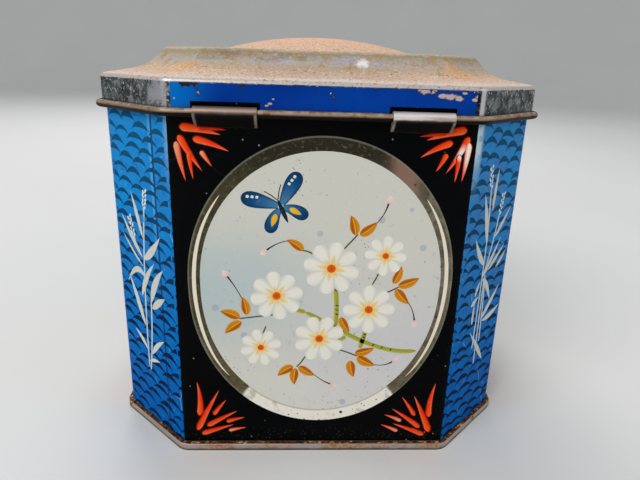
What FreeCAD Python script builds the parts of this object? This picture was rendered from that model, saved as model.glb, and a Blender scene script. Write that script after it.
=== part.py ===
import FreeCAD, Part
import math
import os

# Hinged tin box with slanted corners, folded from tinplate. Millimetres, +Z up.
# The origin is the middle of the foot, and the hinge side faces -Y.
# Heights are measured from the surface that the box stands on.

# Sheet and folds
SHEET = 0.3  # tinplate of the wall, the base and the lid
FOLD_GAP = 0.08  # air between the folded layers of the foot seam
HEM_GAP = 0.1  # air inside the folded top edge of the wall

# Body
BODY_WIDTH = 100.0  # outside, between the left and right walls
BODY_DEPTH = 100.0  # outside, between the hinge wall and the front wall
BODY_HEIGHT = 87.8  # top of the wall's folded edge
CORNER_CUT = 18.0  # what a slanted wall takes off each broad wall's end
CORNER_ROUND = 3.0  # outside radius of the upright bends
HEM_DEPTH = 3.6  # how far down inside the top edge is folded

# Side seam, on the slanted wall at the left of the hinge wall
SEAM_OFFSET = 6.5  # from the corner beside the hinge wall to the seam's line
SEAM_LINE_WIDTH = 0.3
SEAM_LINE_DEPTH = 0.12
SEAM_FOLD_WIDTH = 4.0  # flattened fold behind the line, inside the box
SEAM_FOLD_THICKNESS = 0.6
SEAM_END_CLEARANCE = 0.5  # from the fold to the base panel and to the folded edge

# Foot seam and base
FOOT_SEAM_HEIGHT = 1.8
SEAM_ROUND = 0.3  # outside radius along the top of the foot seam
BASE_RECESS = 2.8  # from the table up to the base panel's underside
BASE_PANEL_EDGE = 0.8  # flat of the panel that is folded with its edge
HOOK_CLEARANCE = 0.2  # from the tip of each hook to the fold that it points at

# Lid
LID_OVERLAP = 6.2  # from the top of the wall down to the middle of the bead
SEAT_GAP = 0.3  # between the wall's top edge and the underside of the lid
BEAD_RADIUS = 0.85  # outside of the curled lower edge
BEAD_TURN = 270.0  # how far the lower edge is curled, in degrees
SHOULDER_ROUND = 1.1
BRIM_WIDTH = 10.0  # from the skirt to the foot of the riser
BRIM_SLOPE = 10.2  # degrees
RISER_SLOPE = 48.0  # degrees
COVE_ROUND = 9.0  # between the brim and the riser
CREST_ROUND = 2.0  # between the riser and the flat top
FLAT_RISE = 6.2  # flat top above the edge where the skirt and the brim would meet
FLAT_EDGE = 0.8  # flat of the top that is pressed with the riser
DOME_RADIUS = 28.0  # foot of the low dome
DOME_RISE = 4.2

# Hinge straps
STRAP_SHEET = 0.35
STRAP_LENGTH = 12.7  # along the hinge
STRAP_MARGIN = 5.6  # from the strap's outer end to the corner of the hinge wall
STRAP_DROP = 2.5  # from the middle of the bead down to the slot
STRAP_TAB = 3.4  # straight part of each tab inside the wall
STRAP_BEND = 0.35  # middle-line radius of the tight bends
STRAP_WALL_GAP = 0.1  # between the strap and either face of the wall
STRAP_LANE_GAP = 0.05  # between the strap's two passes through the slot
HINGE_CLEARANCE = 0.15  # between the bead and the strap
SLOT_CLEARANCE = 0.12  # between the strap and the long edges of the slot
SLOT_END_CLEARANCE = 0.25
WINDOW_END_CLEARANCE = 0.6  # between the strap's ends and the lid's window
WINDOW_TOP_CLEARANCE = 0.85  # between the knuckle and the lid's window

# Places that follow from those sizes. An offset is a distance outside the body's wall.
HEM_THICKNESS = 2 * SHEET + HEM_GAP
HEM_TIP_Z = BODY_HEIGHT - SHEET / 2 - HEM_DEPTH
LAYER_STEP = SHEET + FOLD_GAP
HOOK_FOLD_Z = LAYER_STEP + SHEET / 2
SEAM_TOP_Z = FOOT_SEAM_HEIGHT - SHEET / 2
PANEL_TOP = BASE_RECESS + SHEET
LID_GAP = STRAP_WALL_GAP + STRAP_SHEET + HINGE_CLEARANCE
SKIRT_OFFSET = LID_GAP + SHEET
BEAD_OFFSET = LID_GAP + BEAD_RADIUS
HINGE_Z = BODY_HEIGHT - LID_OVERLAP
KNUCKLE_RADIUS = BEAD_RADIUS + HINGE_CLEARANCE + STRAP_SHEET
STRAP_LANE_STEP = STRAP_SHEET + STRAP_LANE_GAP
SLOT_Z = HINGE_Z - STRAP_DROP

# The eight walls in order, anticlockwise from above
HINGE_WALL = 0
SEAM_WALL = 7
CORNER_TURN = 45.0
LEAST_RADIUS = 0.001  # a tighter bend is sharp on its inside
CURL_SIDES = 6

ORIGIN = FreeCAD.Vector(0, 0, 0)
X_AXIS = FreeCAD.Vector(1, 0, 0)
Z_AXIS = FreeCAD.Vector(0, 0, 1)


def in_section(across, height):
    """A point of an upright section, which is drawn in the XZ plane."""
    return FreeCAD.Vector(across, 0, height)


def polar(angle, length=1.0):
    """A vector in the XZ plane, by its angle from +X towards +Z in degrees."""
    turn = math.radians(angle)
    return in_section(length * math.cos(turn), length * math.sin(turn))


def line(start, end):
    return Part.LineSegment(start, end).toShape()


def arc(centre, radius, from_angle, to_angle):
    """An arc in the XZ plane between two angles in degrees, or nothing where it has no radius."""
    if radius < LEAST_RADIUS:
        return []
    middle_angle = (from_angle + to_angle) / 2
    start = centre + polar(from_angle, radius)
    middle = centre + polar(middle_angle, radius)
    end = centre + polar(to_angle, radius)
    return [Part.Arc(start, middle, end).toShape()]


def flat_sides(centre, radius, from_angle, to_angle):
    """A chain of lines in the XZ plane with its corners on an arc."""
    step = (to_angle - from_angle) / CURL_SIDES
    corners = [centre + polar(from_angle + step * side, radius) for side in range(CURL_SIDES + 1)]
    return [line(start, end) for start, end in zip(corners, corners[1:])]


def join(solids):
    """One solid from solids that share faces or overlap."""
    joined = solids[0].multiFuse(solids[1:]).removeSplitter()
    if len(joined.Solids) != 1:
        raise ValueError("the pieces of one sheet came out as separate solids")
    return joined.Solids[0]


# Folded sheet


def straight(length):
    return ("straight", length)


def fold(angle):
    """A sharp fold in degrees, positive to the left."""
    return ("fold", angle)


def bend(angle, radius):
    """A bend in degrees, positive to the left, with the radius of the middle line."""
    return ("bend", angle, radius)


def curl(angle, radius):
    """A bend to the left that is nearly closed. Its hollow, which is hidden, has flat sides."""
    return ("curl", angle, radius)


def fold_trim(move, half):
    """What a fold takes off the straight beside it on the left, and adds on the right."""
    if move[0] != "fold":
        return 0
    return half * math.tan(math.radians(move[1] / 2))


def bent_sheet(start, heading, moves, thickness):
    """Section of a folded sheet in the XZ plane, followed along its middle line."""
    half = thickness / 2
    ends = [straight(0)]
    point = start
    left_edges = []
    right_edges = []
    first_side = polar(heading + 90, half)
    for before, move, after in zip(ends + moves, moves, moves[1:] + ends):
        left = polar(heading + 90)
        ahead = polar(heading)
        if move[0] == "straight":
            end = point + ahead * move[1]
            trim = ahead * fold_trim(before, half)
            end_trim = ahead * fold_trim(after, half)
            left_edges.append(line(point + left * half + trim, end + left * half - end_trim))
            right_edges.append(line(point - left * half - trim, end - left * half + end_trim))
            point = end
        elif move[0] == "fold":
            heading += move[1]
        else:
            angle = move[1]
            radius = move[2]
            side = math.copysign(1, angle)
            centre = point + left * (side * radius)
            from_angle = heading - 90 * side
            to_angle = from_angle + angle
            left_arc = arc if move[0] == "bend" else flat_sides
            left_edges += left_arc(centre, radius - side * half, from_angle, to_angle)
            right_edges += arc(centre, radius + side * half, from_angle, to_angle)
            point = centre + polar(to_angle, radius)
            heading += angle
    last_side = polar(heading + 90, half)
    first_edge = line(start - first_side, start + first_side)
    last_edge = line(point + last_side, point - last_side)
    return Part.Face(Part.Wire([first_edge] + left_edges + [last_edge] + right_edges[::-1]))


# Plan of the box


def plan_corners(offset):
    """The eight corners of the plan, offset outside the wall, from the hinge wall's left end."""
    x = BODY_WIDTH / 2 + offset
    y = BODY_DEPTH / 2 + offset
    cut = CORNER_CUT + offset * (2 - math.sqrt(2))
    places = [(cut - x, -y), (x - cut, -y), (x, cut - y), (x, y - cut)]
    places += [(x - cut, y), (cut - x, y), (-x, y - cut), (-x, cut - y)]
    return [FreeCAD.Vector(place[0], place[1], 0) for place in places]


def plan_walls(offset):
    """Start, direction and length of each wall between its two corners."""
    corners = plan_corners(offset)
    walls = []
    for start, end in zip(corners, corners[1:] + corners[:1]):
        along = end - start
        walls.append((start, along / along.Length, along.Length))
    return walls


def outward(direction):
    """The level direction out of a wall that runs along direction."""
    return FreeCAD.Vector(direction.y, -direction.x, 0)


def heading_of(direction):
    return math.degrees(math.atan2(direction.y, direction.x))


def corner_setback(radius):
    """How far a corner's rounding reaches along each of its two walls."""
    return radius * math.tan(math.radians(CORNER_TURN / 2))


def rounded_plan(offset, radius, height):
    """Closed outline of the plan with rounded corners, at a height."""
    setback = corner_setback(radius)
    rise = Z_AXIS * height
    edges = []
    walls = plan_walls(offset)
    for wall, following in zip(walls, walls[1:] + walls[:1]):
        start, direction, length = wall
        from_point = start + direction * setback + rise
        to_point = start + direction * (length - setback) + rise
        centre = to_point - outward(direction) * radius
        middle_out = (outward(direction) + outward(following[1])).normalize()
        next_point = following[0] + following[1] * setback + rise
        edges.append(line(from_point, to_point))
        edges.append(Part.Arc(to_point, centre + middle_out * radius, next_point).toShape())
    return Part.Wire(edges)


def wall_sector(wall, limits):
    """The space over one wall where its sheet runs straight, between the corners' mitre lines."""
    start, direction, length = wall
    setback = corner_setback(CORNER_ROUND)
    out = outward(direction)
    low_end = start + direction * setback + Z_AXIS * limits.ZMin
    high_end = start + direction * (length - setback) + Z_AXIS * limits.ZMin
    past_pivot = max(-limits.XMin, CORNER_ROUND)
    mitre = direction * corner_setback(past_pivot)
    corners = [
        low_end + out * limits.XMax,
        high_end + out * limits.XMax,
        high_end - out * CORNER_ROUND,
        high_end - out * (CORNER_ROUND + past_pivot) - mitre,
        low_end - out * (CORNER_ROUND + past_pivot) + mitre,
        low_end - out * CORNER_ROUND,
    ]
    outline = Part.makePolygon(corners + corners[:1])
    return Part.Face(outline).extrude(Z_AXIS * limits.ZLength)


def around_body(section):
    """A folded section carried round the body. Its x is the offset outside the wall.

    It turns about an upright pivot at each corner, and is mitred on the inside of the pivot.
    """
    limits = section.BoundBox
    limits.enlarge(SHEET)
    setback = corner_setback(CORNER_ROUND)
    room = Part.makeBox(
        limits.XMax + CORNER_ROUND, limits.YLength, limits.ZLength,
        FreeCAD.Vector(-CORNER_ROUND, limits.YMin, limits.ZMin),
    )
    turned = section.common(room).Faces[0]
    solids = []
    for wall in plan_walls(0):
        start, direction, length = wall
        out = outward(direction)
        face = section.rotated(ORIGIN, Z_AXIS, heading_of(out)).translated(start)
        solids.append(face.extrude(direction * length).common(wall_sector(wall, limits)).Solids[0])
        corner = start + direction * (length - setback)
        face = turned.rotated(ORIGIN, Z_AXIS, heading_of(out)).translated(corner)
        solids.append(face.revolve(corner - out * CORNER_ROUND, Z_AXIS, CORNER_TURN))
    return join(solids)


def on_wall(shape, wall):
    """Puts a shape drawn from a wall's start, along +X and out along -Y, on that wall."""
    start, direction, length = plan_walls(0)[wall]
    return shape.rotated(ORIGIN, Z_AXIS, heading_of(direction)).translated(start)


def block(along, width, offsets, heights):
    """A block to put on a wall: its middle along the wall, and its low and high limits."""
    corner = FreeCAD.Vector(along - width / 2, -offsets[1], heights[0])
    return Part.makeBox(width, offsets[1] - offsets[0], heights[1] - heights[0], corner)


# Body wall


def wall_section():
    """The wall from the hook in the foot seam, up to the folded-in top edge."""
    hook_offset = 2 * LAYER_STEP - SHEET / 2
    tip_z = FOOT_SEAM_HEIGHT - SHEET - HOOK_CLEARANCE
    moves = [
        straight(tip_z - HOOK_FOLD_Z),
        fold(-90),
        straight(2 * LAYER_STEP),
        fold(-90),
        straight(BODY_HEIGHT - SHEET / 2 - HOOK_FOLD_Z),
        fold(90),
        straight(SHEET + HEM_GAP),
        fold(90),
        straight(HEM_DEPTH),
    ]
    return bent_sheet(in_section(hook_offset, tip_z), 270, moves, SHEET)


def strap_places():
    """The middle of each strap along the hinge wall, left then right."""
    wall_length = plan_walls(0)[HINGE_WALL][2]
    from_end = STRAP_MARGIN + STRAP_LENGTH / 2
    return [from_end, wall_length - from_end]


def body_wall():
    wall = around_body(wall_section())
    seam_along = plan_walls(0)[SEAM_WALL][2] - SEAM_OFFSET
    fold_offsets = (-SHEET - SEAM_FOLD_THICKNESS, -SHEET)
    fold_low = PANEL_TOP + SEAM_END_CLEARANCE
    fold_high = HEM_TIP_Z - SEAM_END_CLEARANCE
    seam_fold = block(seam_along, SEAM_FOLD_WIDTH, fold_offsets, (fold_low, fold_high))
    line_offsets = (-SEAM_LINE_DEPTH, SEAM_LINE_DEPTH)
    line_heights = (FOOT_SEAM_HEIGHT, fold_high)
    seam_line = block(seam_along, SEAM_LINE_WIDTH, line_offsets, line_heights)
    slot_half = STRAP_LANE_STEP / 2 + STRAP_SHEET / 2 + SLOT_CLEARANCE
    slot_heights = (SLOT_Z - slot_half, SLOT_Z + slot_half)
    slot_width = STRAP_LENGTH + 2 * SLOT_END_CLEARANCE
    slots = [block(along, slot_width, (-2 * SHEET, SHEET), slot_heights) for along in strap_places()]
    removed = [on_wall(seam_line, SEAM_WALL)]
    removed += [on_wall(slot, HINGE_WALL) for slot in slots]
    return join([wall, on_wall(seam_fold, SEAM_WALL)]).cut(removed).removeSplitter()


# Base pan


def base_pan():
    """The recessed panel and the edge that is seamed round the foot of the wall."""
    chuck_offset = -LAYER_STEP - SHEET / 2
    cover_offset = FOLD_GAP + SHEET / 2
    seam_offset = cover_offset + 2 * LAYER_STEP
    panel_edge = chuck_offset - BASE_PANEL_EDGE
    panel_z = BASE_RECESS + SHEET / 2
    tip_z = HOOK_FOLD_Z + SHEET / 2 + HOOK_CLEARANCE
    round_radius = SEAM_ROUND - SHEET / 2
    moves = [
        straight(BASE_PANEL_EDGE),
        fold(-90),
        straight(panel_z - SHEET / 2),
        fold(90),
        straight(seam_offset - chuck_offset),
        fold(90),
        straight(SEAM_TOP_Z - SHEET / 2 - round_radius),
        bend(90, round_radius),
        straight(2 * LAYER_STEP - round_radius),
        fold(90),
        straight(SEAM_TOP_Z - tip_z),
    ]
    edge = around_body(bent_sheet(in_section(panel_edge, panel_z), 0, moves, SHEET))
    outline = rounded_plan(panel_edge, CORNER_ROUND + panel_edge, BASE_RECESS)
    panel = Part.Face(outline).extrude(Z_AXIS * SHEET)
    return join([edge, panel])


# Lid


def dome_cap(radius, centre_z, foot_z):
    """The part of a ball above a height. The ball's poles lie on the left and the right."""
    centre = in_section(0, centre_z)
    ball = Part.makeSphere(radius, centre, X_AXIS).rotated(centre, X_AXIS, 180)
    corner = FreeCAD.Vector(-radius, -radius, foot_z)
    return ball.common(Part.makeBox(2 * radius, 2 * radius, radius, corner))


def lid_shell():
    """The lid: a pressed top with a low dome, the skirt, its curled edge and the straps' windows."""
    slope = math.radians(BRIM_SLOPE)
    rise = math.radians(RISER_SLOPE)
    hem_inset = SKIRT_OFFSET + HEM_THICKNESS / 2
    edge_z = BODY_HEIGHT + SEAT_GAP + SHEET / math.cos(slope) - hem_inset * math.tan(slope)
    flat_z = edge_z + FLAT_RISE
    riser_height = FLAT_RISE - BRIM_WIDTH * math.tan(slope)
    shoulder_reach = SHOULDER_ROUND * math.tan((math.pi / 2 - slope) / 2)
    cove_reach = COVE_ROUND * math.tan((rise - slope) / 2)
    crest_reach = CREST_ROUND * math.tan(rise / 2)
    crest_offset = SKIRT_OFFSET - BRIM_WIDTH - riser_height / math.tan(rise)
    flat_offset = crest_offset - crest_reach - FLAT_EDGE
    moves = [
        straight(FLAT_EDGE),
        bend(-RISER_SLOPE, CREST_ROUND - SHEET / 2),
        straight(riser_height / math.sin(rise) - crest_reach - cove_reach),
        bend(RISER_SLOPE - BRIM_SLOPE, COVE_ROUND + SHEET / 2),
        straight(BRIM_WIDTH / math.cos(slope) - cove_reach - shoulder_reach),
        bend(BRIM_SLOPE - 90, SHOULDER_ROUND - SHEET / 2),
        straight(edge_z - shoulder_reach - HINGE_Z),
        curl(BEAD_TURN, BEAD_RADIUS - SHEET / 2),
    ]
    flat_start = in_section(flat_offset, flat_z - SHEET / 2)
    pressing = around_body(bent_sheet(flat_start, 0, moves, SHEET))
    flat_corners = [corner + Z_AXIS * (flat_z - SHEET) for corner in plan_corners(flat_offset)]
    flat_outline = Part.makePolygon(flat_corners + flat_corners[:1])
    flat = Part.Face(flat_outline).extrude(Z_AXIS * SHEET)
    dome_round = (DOME_RADIUS**2 + DOME_RISE**2) / (2 * DOME_RISE)
    dome_middle = flat_z + DOME_RISE - dome_round
    dome = dome_cap(dome_round, dome_middle, flat_z - SHEET)
    hollow = dome_cap(dome_round - SHEET, dome_middle, flat_z - 2 * SHEET)

    window_width = STRAP_LENGTH + 2 * WINDOW_END_CLEARANCE
    window_heights = (HINGE_Z, HINGE_Z + KNUCKLE_RADIUS + WINDOW_TOP_CLEARANCE)
    window_offsets = (0, SKIRT_OFFSET + FOLD_GAP)
    windows = []
    for along in strap_places():
        window = block(along, window_width, window_offsets, window_heights)
        windows.append(on_wall(window, HINGE_WALL))
    return join([pressing, flat, dome]).cut(windows + [hollow]).removeSplitter()


# Hinge straps


def strap_section():
    """A strap from its upper tab, out of the slot, round the bead and back to its lower tab."""
    tab_offset = -SHEET - STRAP_WALL_GAP - STRAP_SHEET / 2
    leg_offset = STRAP_WALL_GAP + STRAP_SHEET / 2
    upper_z = SLOT_Z + STRAP_LANE_STEP / 2
    lower_z = SLOT_Z - STRAP_LANE_STEP / 2
    loop_radius = KNUCKLE_RADIUS - STRAP_SHEET / 2
    bead_centre = in_section(BEAD_OFFSET, HINGE_Z)
    entry_centre = in_section(STRAP_WALL_GAP, lower_z + STRAP_BEND)
    to_entry = entry_centre - bead_centre
    entry_angle = math.degrees(math.atan2(to_entry.z, to_entry.x))
    radius_step = loop_radius - STRAP_BEND
    tail_heading = entry_angle - math.degrees(math.asin(radius_step / to_entry.Length))
    tail_length = math.sqrt(to_entry.Length**2 - radius_step**2)
    moves = [
        straight(STRAP_TAB),
        bend(90, STRAP_BEND),
        straight(leg_offset - tab_offset - 2 * STRAP_BEND),
        bend(90, STRAP_BEND),
        straight(HINGE_Z - upper_z - STRAP_BEND),
        bend(tail_heading - 90, loop_radius),
        straight(tail_length),
        bend(-180 - tail_heading, STRAP_BEND),
        straight(entry_centre.x - tab_offset - STRAP_BEND),
        bend(90, STRAP_BEND),
        straight(STRAP_TAB),
    ]
    start = in_section(tab_offset, upper_z + STRAP_BEND + STRAP_TAB)
    return bent_sheet(start, 270, moves, STRAP_SHEET)


def hinge_strap(along):
    """One strap, with its middle at a place along the hinge wall."""
    face = strap_section().rotated(ORIGIN, Z_AXIS, -90)
    strap = face.translated(X_AXIS * (along - STRAP_LENGTH / 2)).extrude(X_AXIS * STRAP_LENGTH)
    return on_wall(strap, HINGE_WALL)


left_place, right_place = strap_places()
nodes = {
    "body_wall": body_wall(),
    "base_pan": base_pan(),
    "lid_shell": lid_shell(),
    "hinge_strap_left": hinge_strap(left_place),
    "hinge_strap_right": hinge_strap(right_place),
}
os.makedirs("parts", exist_ok=True)
for name, shape in nodes.items():
    shape.exportStep("parts/" + name + ".step")
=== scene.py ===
"""Looks of a hinged tin box: printed walls, worn lid, bare foot and straps, and a plain stage."""

import math
import random

import bmesh
import bpy
from bpy.props import FloatProperty, FloatVectorProperty, PointerProperty
from mathutils import Matrix, Vector


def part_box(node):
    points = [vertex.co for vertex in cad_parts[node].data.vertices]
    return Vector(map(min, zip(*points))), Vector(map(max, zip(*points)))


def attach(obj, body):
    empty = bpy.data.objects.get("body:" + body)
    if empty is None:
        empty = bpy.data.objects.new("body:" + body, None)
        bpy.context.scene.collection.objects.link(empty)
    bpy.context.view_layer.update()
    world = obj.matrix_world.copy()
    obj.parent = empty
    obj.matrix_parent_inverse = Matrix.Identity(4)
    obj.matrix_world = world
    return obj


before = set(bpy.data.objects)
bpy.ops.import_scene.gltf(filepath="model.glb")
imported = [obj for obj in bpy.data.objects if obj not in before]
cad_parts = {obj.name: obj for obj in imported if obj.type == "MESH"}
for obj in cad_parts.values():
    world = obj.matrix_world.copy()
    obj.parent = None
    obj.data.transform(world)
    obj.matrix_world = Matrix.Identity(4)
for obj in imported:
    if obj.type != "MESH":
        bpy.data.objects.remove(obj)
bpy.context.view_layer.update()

bl_info = {
    "name": "Hinged tin box",
    "version": (1, 0, 0),
    "blender": (4, 5, 0),
    "location": "View3D > Sidebar > Tin Box",
    "description": "Prints the walls, wears the lid and sets the stage of a hinged tin box",
    "category": "Object",
}

# Walls are numbered anticlockwise from the hinge wall: even ones are broad, odd ones slanted.
BROAD_WALLS = {0: "hinge", 2: "right", 4: "front", 6: "left"}
SLANTED_WALLS = {1: "hinge_right", 3: "front_right", 5: "front_left", 7: "hinge_left"}
HINGE_WALL, SEAM_WALL = 0, 7

# Drawings are in millimetres: heights of the layers of ink above the tin.
SKIN, OVAL, DISC, SCALE, STROKE = 0.02, 0.03, 0.036, 0.04, 0.05
# The least half width of a stroke, the span of the print's map, and spots so near that they are one.
FINEST, PRINT_SPAN, SAME_SPOT = 0.025, 100, 1e-5
# Half of the soft edge between the halves of the box, in metres.
MIDDLE_EDGE = 0.001
# More reaches away than the rim of any blot.
FAR_AWAY = 10.0

# Tints of wear, dust, stains, bare tin, painted highlights, reflections and shade, the shading of the inks
# and the stage, as seen on a screen.
TINTS = {
    "dull_black": (8, 8, 10), "pale_dust": (190, 190, 186), "brown_dust": (196, 160, 130),
    "cloudy_blue": (0, 112, 196), "blue_grain": (0, 84, 160), "bright_grain": (70, 186, 236),
    "side_sheen_grey": (120, 118, 120), "fold_highlight_blue": (166, 198, 222), "fold_highlight_core": (216, 228, 238),
    "seam_light": (96, 186, 236), "seam_shadow": (0, 44, 104), "blue_speck": (190, 214, 228),
    "thin_navy": (10, 70, 122), "high_navy": (26, 90, 130), "fold_highlight_navy": (150, 188, 214),
    "disc_foot": (228, 226, 216), "lilac_spot": (160, 168, 190), "grey_pit": (104, 112, 124),
    "band_right": (134, 126, 108), "band_low_reflection": (118, 108, 80), "band_top_dark_reflection": (50, 48, 36),
    "band_mottle": (44, 40, 26), "band_grain": (146, 136, 104), "band_pit": (30, 27, 18),
    "band_glint": (158, 124, 106), "band_cream_reflection": (246, 242, 228), "band_smudge": (160, 152, 130),
    "band_line_shadow": (120, 106, 88), "band_blot": (40, 34, 24), "band_edge": (142, 142, 124),
    "rubbed_paint": (236, 226, 214), "tin_fleck": (206, 204, 196), "golden_dark": (138, 130, 108),
    "golden_pale": (178, 172, 152), "corner_dark": (30, 35, 37), "corner_pale": (84, 92, 92),
    "corner_mottle": (132, 140, 142), "corner_speck": (206, 208, 206), "corner_fold_shade": (22, 24, 28),
    "scraped_tin": (186, 184, 194), "fold_highlight_tin": (204, 204, 206), "darker_brim": (172, 150, 130),
    "lilac_reflection": (176, 178, 204), "brown_streak": (136, 110, 96), "golden_stain": (172, 138, 88),
    "amber_stain": (240, 164, 84), "white_scuff": (250, 248, 246), "pale_grit": (246, 228, 210),
    "dark_grit": (136, 94, 64), "skirt_shade": (0, 50, 140), "skirt_azure": (0, 112, 204),
    "skirt_bruise": (40, 38, 46), "skirt_flake": (192, 174, 168), "bead_brown": (158, 134, 112),
    "bead_rust": (124, 82, 56), "bead_highlight": (198, 178, 158), "bead_shade": (24, 19, 17),
    "foot_dark": (112, 102, 92), "foot_pale": (176, 166, 152), "foot_warm": (196, 162, 138),
    "foot_grain": (154, 118, 92), "foot_silver_sheen": (182, 174, 168), "foot_contact_shade": (38, 34, 31),
    "strap_dark": (122, 114, 106), "strap_pale": (188, 180, 170), "strap_streak": (216, 208, 198),
    "strap_brown": (112, 94, 80), "strap_highlight": (255, 246, 240), "floor_dark": (222, 222, 220),
    "floor_pale": (230, 230, 228), "chipped_white": (250, 242, 222), "bright_flame": (255, 110, 30),
    "deep_flame": (214, 26, 4), "reed_stem": (150, 196, 224), "reed_vein": (205, 190, 160),
    "reed_edge": (150, 200, 226), "reed_ear": (214, 228, 228), "lit_moss": (196, 190, 70),
    "petal_edge": (206, 204, 198), "wing_light": (120, 190, 214), "wing_spot": (240, 232, 206),
    "pale_sky": (244, 246, 250),
}
# Dust on the lid from its shoulder up to its dome, with a painted highlight in the pale tints along the
# shoulder: height and tint.
LID_DUST_AND_SHEEN = ((0.0874, (204, 200, 202)), (0.0883, (220, 205, 193)), (0.0890, (214, 184, 162)),
            (0.0899, (208, 178, 152)), (0.0908, (194, 174, 148)), (0.0918, (182, 174, 166)),
            (0.0928, (174, 164, 144)), (0.0936, (160, 146, 118)), (0.0941, (184, 172, 150)),
            (0.0947, (220, 184, 156)), (0.0986, (232, 184, 154)))
# Rust on the foot, from its dark ground to its golden grains: grain and tint.
FOOT_RUST = ((0.36, (38, 20, 11)), (0.49, (84, 46, 25)), (0.58, (140, 88, 50)), (0.66, (230, 192, 138)))
# The roll of the straps from the painted shade on its front to the painted highlight near its top: height
# and tint.
STRAP_ROLL_SHADING = ((0.0812, (13, 12, 12)), (0.0816, (40, 36, 33)), (0.0819, (116, 100, 90)),
              (0.0823, (176, 150, 134)), (0.0827, (168, 144, 130)), (0.0831, (120, 104, 94)))
# Marks on the lid, in metres: scrapes on a corner, then chips and bruises on the skirt by x, z and reach.
BEAD_TOP, SKIRT_FACE = 0.0825, -0.0509
SCRAPES = (((-0.0338, -0.0496, 0.0856), 0.0032), ((-0.0350, -0.0484, 0.0850), 0.0024))
CHIPS = ((0.0200, 0.0870, 0.0013), (0.0236, 0.0862, 0.0010), (0.0252, 0.0861, 0.0013),
         (0.0270, 0.0858, 0.0011), (0.0281, 0.0868, 0.0006), (0.0314, 0.0862, 0.0011),
         (0.0303, 0.0856, 0.0008), (-0.0105, 0.0846, 0.0003), (-0.0111, 0.0837, 0.0005),
         (-0.0118, 0.0833, 0.0004))
BRUISES = ((-0.0277, 0.0875, 0.0013), (-0.0262, 0.0878, 0.0012), (-0.0168, 0.0876, 0.0010))


def shade(*screen):
    """A colour as seen on a screen, 0 to 255, in the linear numbers that materials take."""
    return tuple(c / 255 / 12.92 if c < 11 else ((c / 255 + 0.055) / 1.055) ** 2.4 for c in screen)


def tone(name):
    """A named tint in the numbers that materials take."""
    return shade(*TINTS[name])


def length(name, description, default):
    """A size in metres that a user may change."""
    return FloatProperty(name=name, description=description, default=default, min=0.0, precision=5,
                         unit="LENGTH", subtype="DISTANCE")


def tint(name, description, *screen):
    """A colour that a user may change."""
    return FloatVectorProperty(name=name, description=description, default=shade(*screen),
                               size=3, min=0.0, max=1.0, subtype="COLOR")


class TinBoxSizes(bpy.types.PropertyGroup):
    """Where the print lies on the tin, and how large it is."""

    broad_reach: length("Broad wall reach", "From the middle of the box to a broad wall", 0.05)
    slant_reach: length("Slanted wall reach", "From the middle of the box to a slanted wall", 0.057983)
    panel_half: length("Panel half width", "Half of a broad wall's flat", 0.030757)
    slant_half: length("Slant half width", "Half of a slanted wall's flat", 0.011485)
    corner_round: length("Corner round", "Radius of the folds between the walls", 0.003)
    panel_wrap: length("Panel wrap", "How far the black print runs round each fold", 0.00146)
    print_low: length("Print low edge", "Height where the print starts above the foot seam", 0.0019)
    print_high: length("Print high edge", "Height where the print ends under the lid", 0.0874)
    seam_place: length("Seam place", "From the middle of the seam wall to its seam", 0.00623)
    seam_gap: length("Seam gap", "Width of the bare line along the seam", 0.00022)
    slot_low: length("Slot low edge", "Lower edge of the slots for the hinge straps", 0.0786)
    slot_high: length("Slot high edge", "Upper edge of the slots for the hinge straps", 0.0796)
    oval_middle: length("Oval middle", "Height of the middle of the ovals", 0.0428)
    oval_aside: length("Oval aside", "How far the ovals lie to the right of the middle", 0.00044)
    oval_fullness: FloatProperty(name="Oval fullness", default=0.06, min=0.0, max=1.0, subtype="FACTOR",
                                 description="Extra width of the upper half of the ovals, as a share")
    band_half_width: length("Band half width", "Half width of the oval band, outside", 0.02975)
    band_half_height: length("Band half height", "Half height of the oval band, outside", 0.03475)
    disc_half_width: length("Disc half width", "Half width of the pale disc", 0.02705)
    disc_half_height: length("Disc half height", "Half height of the pale disc", 0.0316)
    scale_width: length("Scale width", "From one fish scale to the next along a row", 0.0057)
    scale_rise: length("Scale rise", "From one row of fish scales to the next", 0.0030)
    scale_brush: length("Scale brush", "Thickness of a fish scale's brush stroke at its top", 0.00128)


class TinBoxColours(bpy.types.PropertyGroup):
    """Colours of the inks, the lacquer and the tin."""

    enamel: tint("Enamel", "Black of the broad walls", 4, 5, 6)
    azure: tint("Azure", "Blue of the slanted walls, near the top", 0, 150, 226)
    deep_azure: tint("Deep azure", "Blue of the slanted walls, near the foot", 0, 92, 176)
    navy: tint("Navy", "Fish scales", 6, 30, 66)
    cream: tint("Cream", "Discs", 214, 213, 202)
    mist: tint("Mist", "Bluish cloud on the discs", 190, 202, 202)
    lilac: tint("Lilac", "Lilac cloud on the discs", 210, 208, 214)
    lacquer: tint("Lacquer", "Dark lacquer on the oval bands", 82, 76, 52)
    crescent: tint("Crescent", "Thin crescents on the bands", 240, 230, 210)
    flame: tint("Flame", "Corner strokes", 252, 66, 8)
    ember: tint("Ember", "Dark edge of the corner strokes", 128, 14, 5)
    peach: tint("Peach", "Pale edge of the corner strokes", 236, 170, 128)
    reed: tint("Reed", "Reeds on the slanted walls", 216, 217, 205)
    petal: tint("Petal", "Petals", 240, 237, 224)
    pollen: tint("Pollen", "Rays in the flowers", 244, 196, 44)
    heart: tint("Heart", "Hearts of the flowers", 232, 92, 22)
    amber: tint("Amber", "Leaves", 214, 136, 30)
    russet: tint("Russet", "Shaded half of the leaves", 178, 84, 18)
    moss: tint("Moss", "Stems", 158, 164, 52)
    bark: tint("Bark", "Fine twigs", 22, 30, 22)
    blush: tint("Blush", "Buds", 240, 190, 184)
    wing: tint("Wing", "Wings", 8, 78, 136)
    lid_blue: tint("Lid blue", "Skirt of the lid", 0, 64, 164)


def sizes():
    return bpy.context.scene.tin_box_sizes


def colours():
    return bpy.context.scene.tin_box_colours


def mm(size):
    """A size in drawing units."""
    return size * 1000


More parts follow.
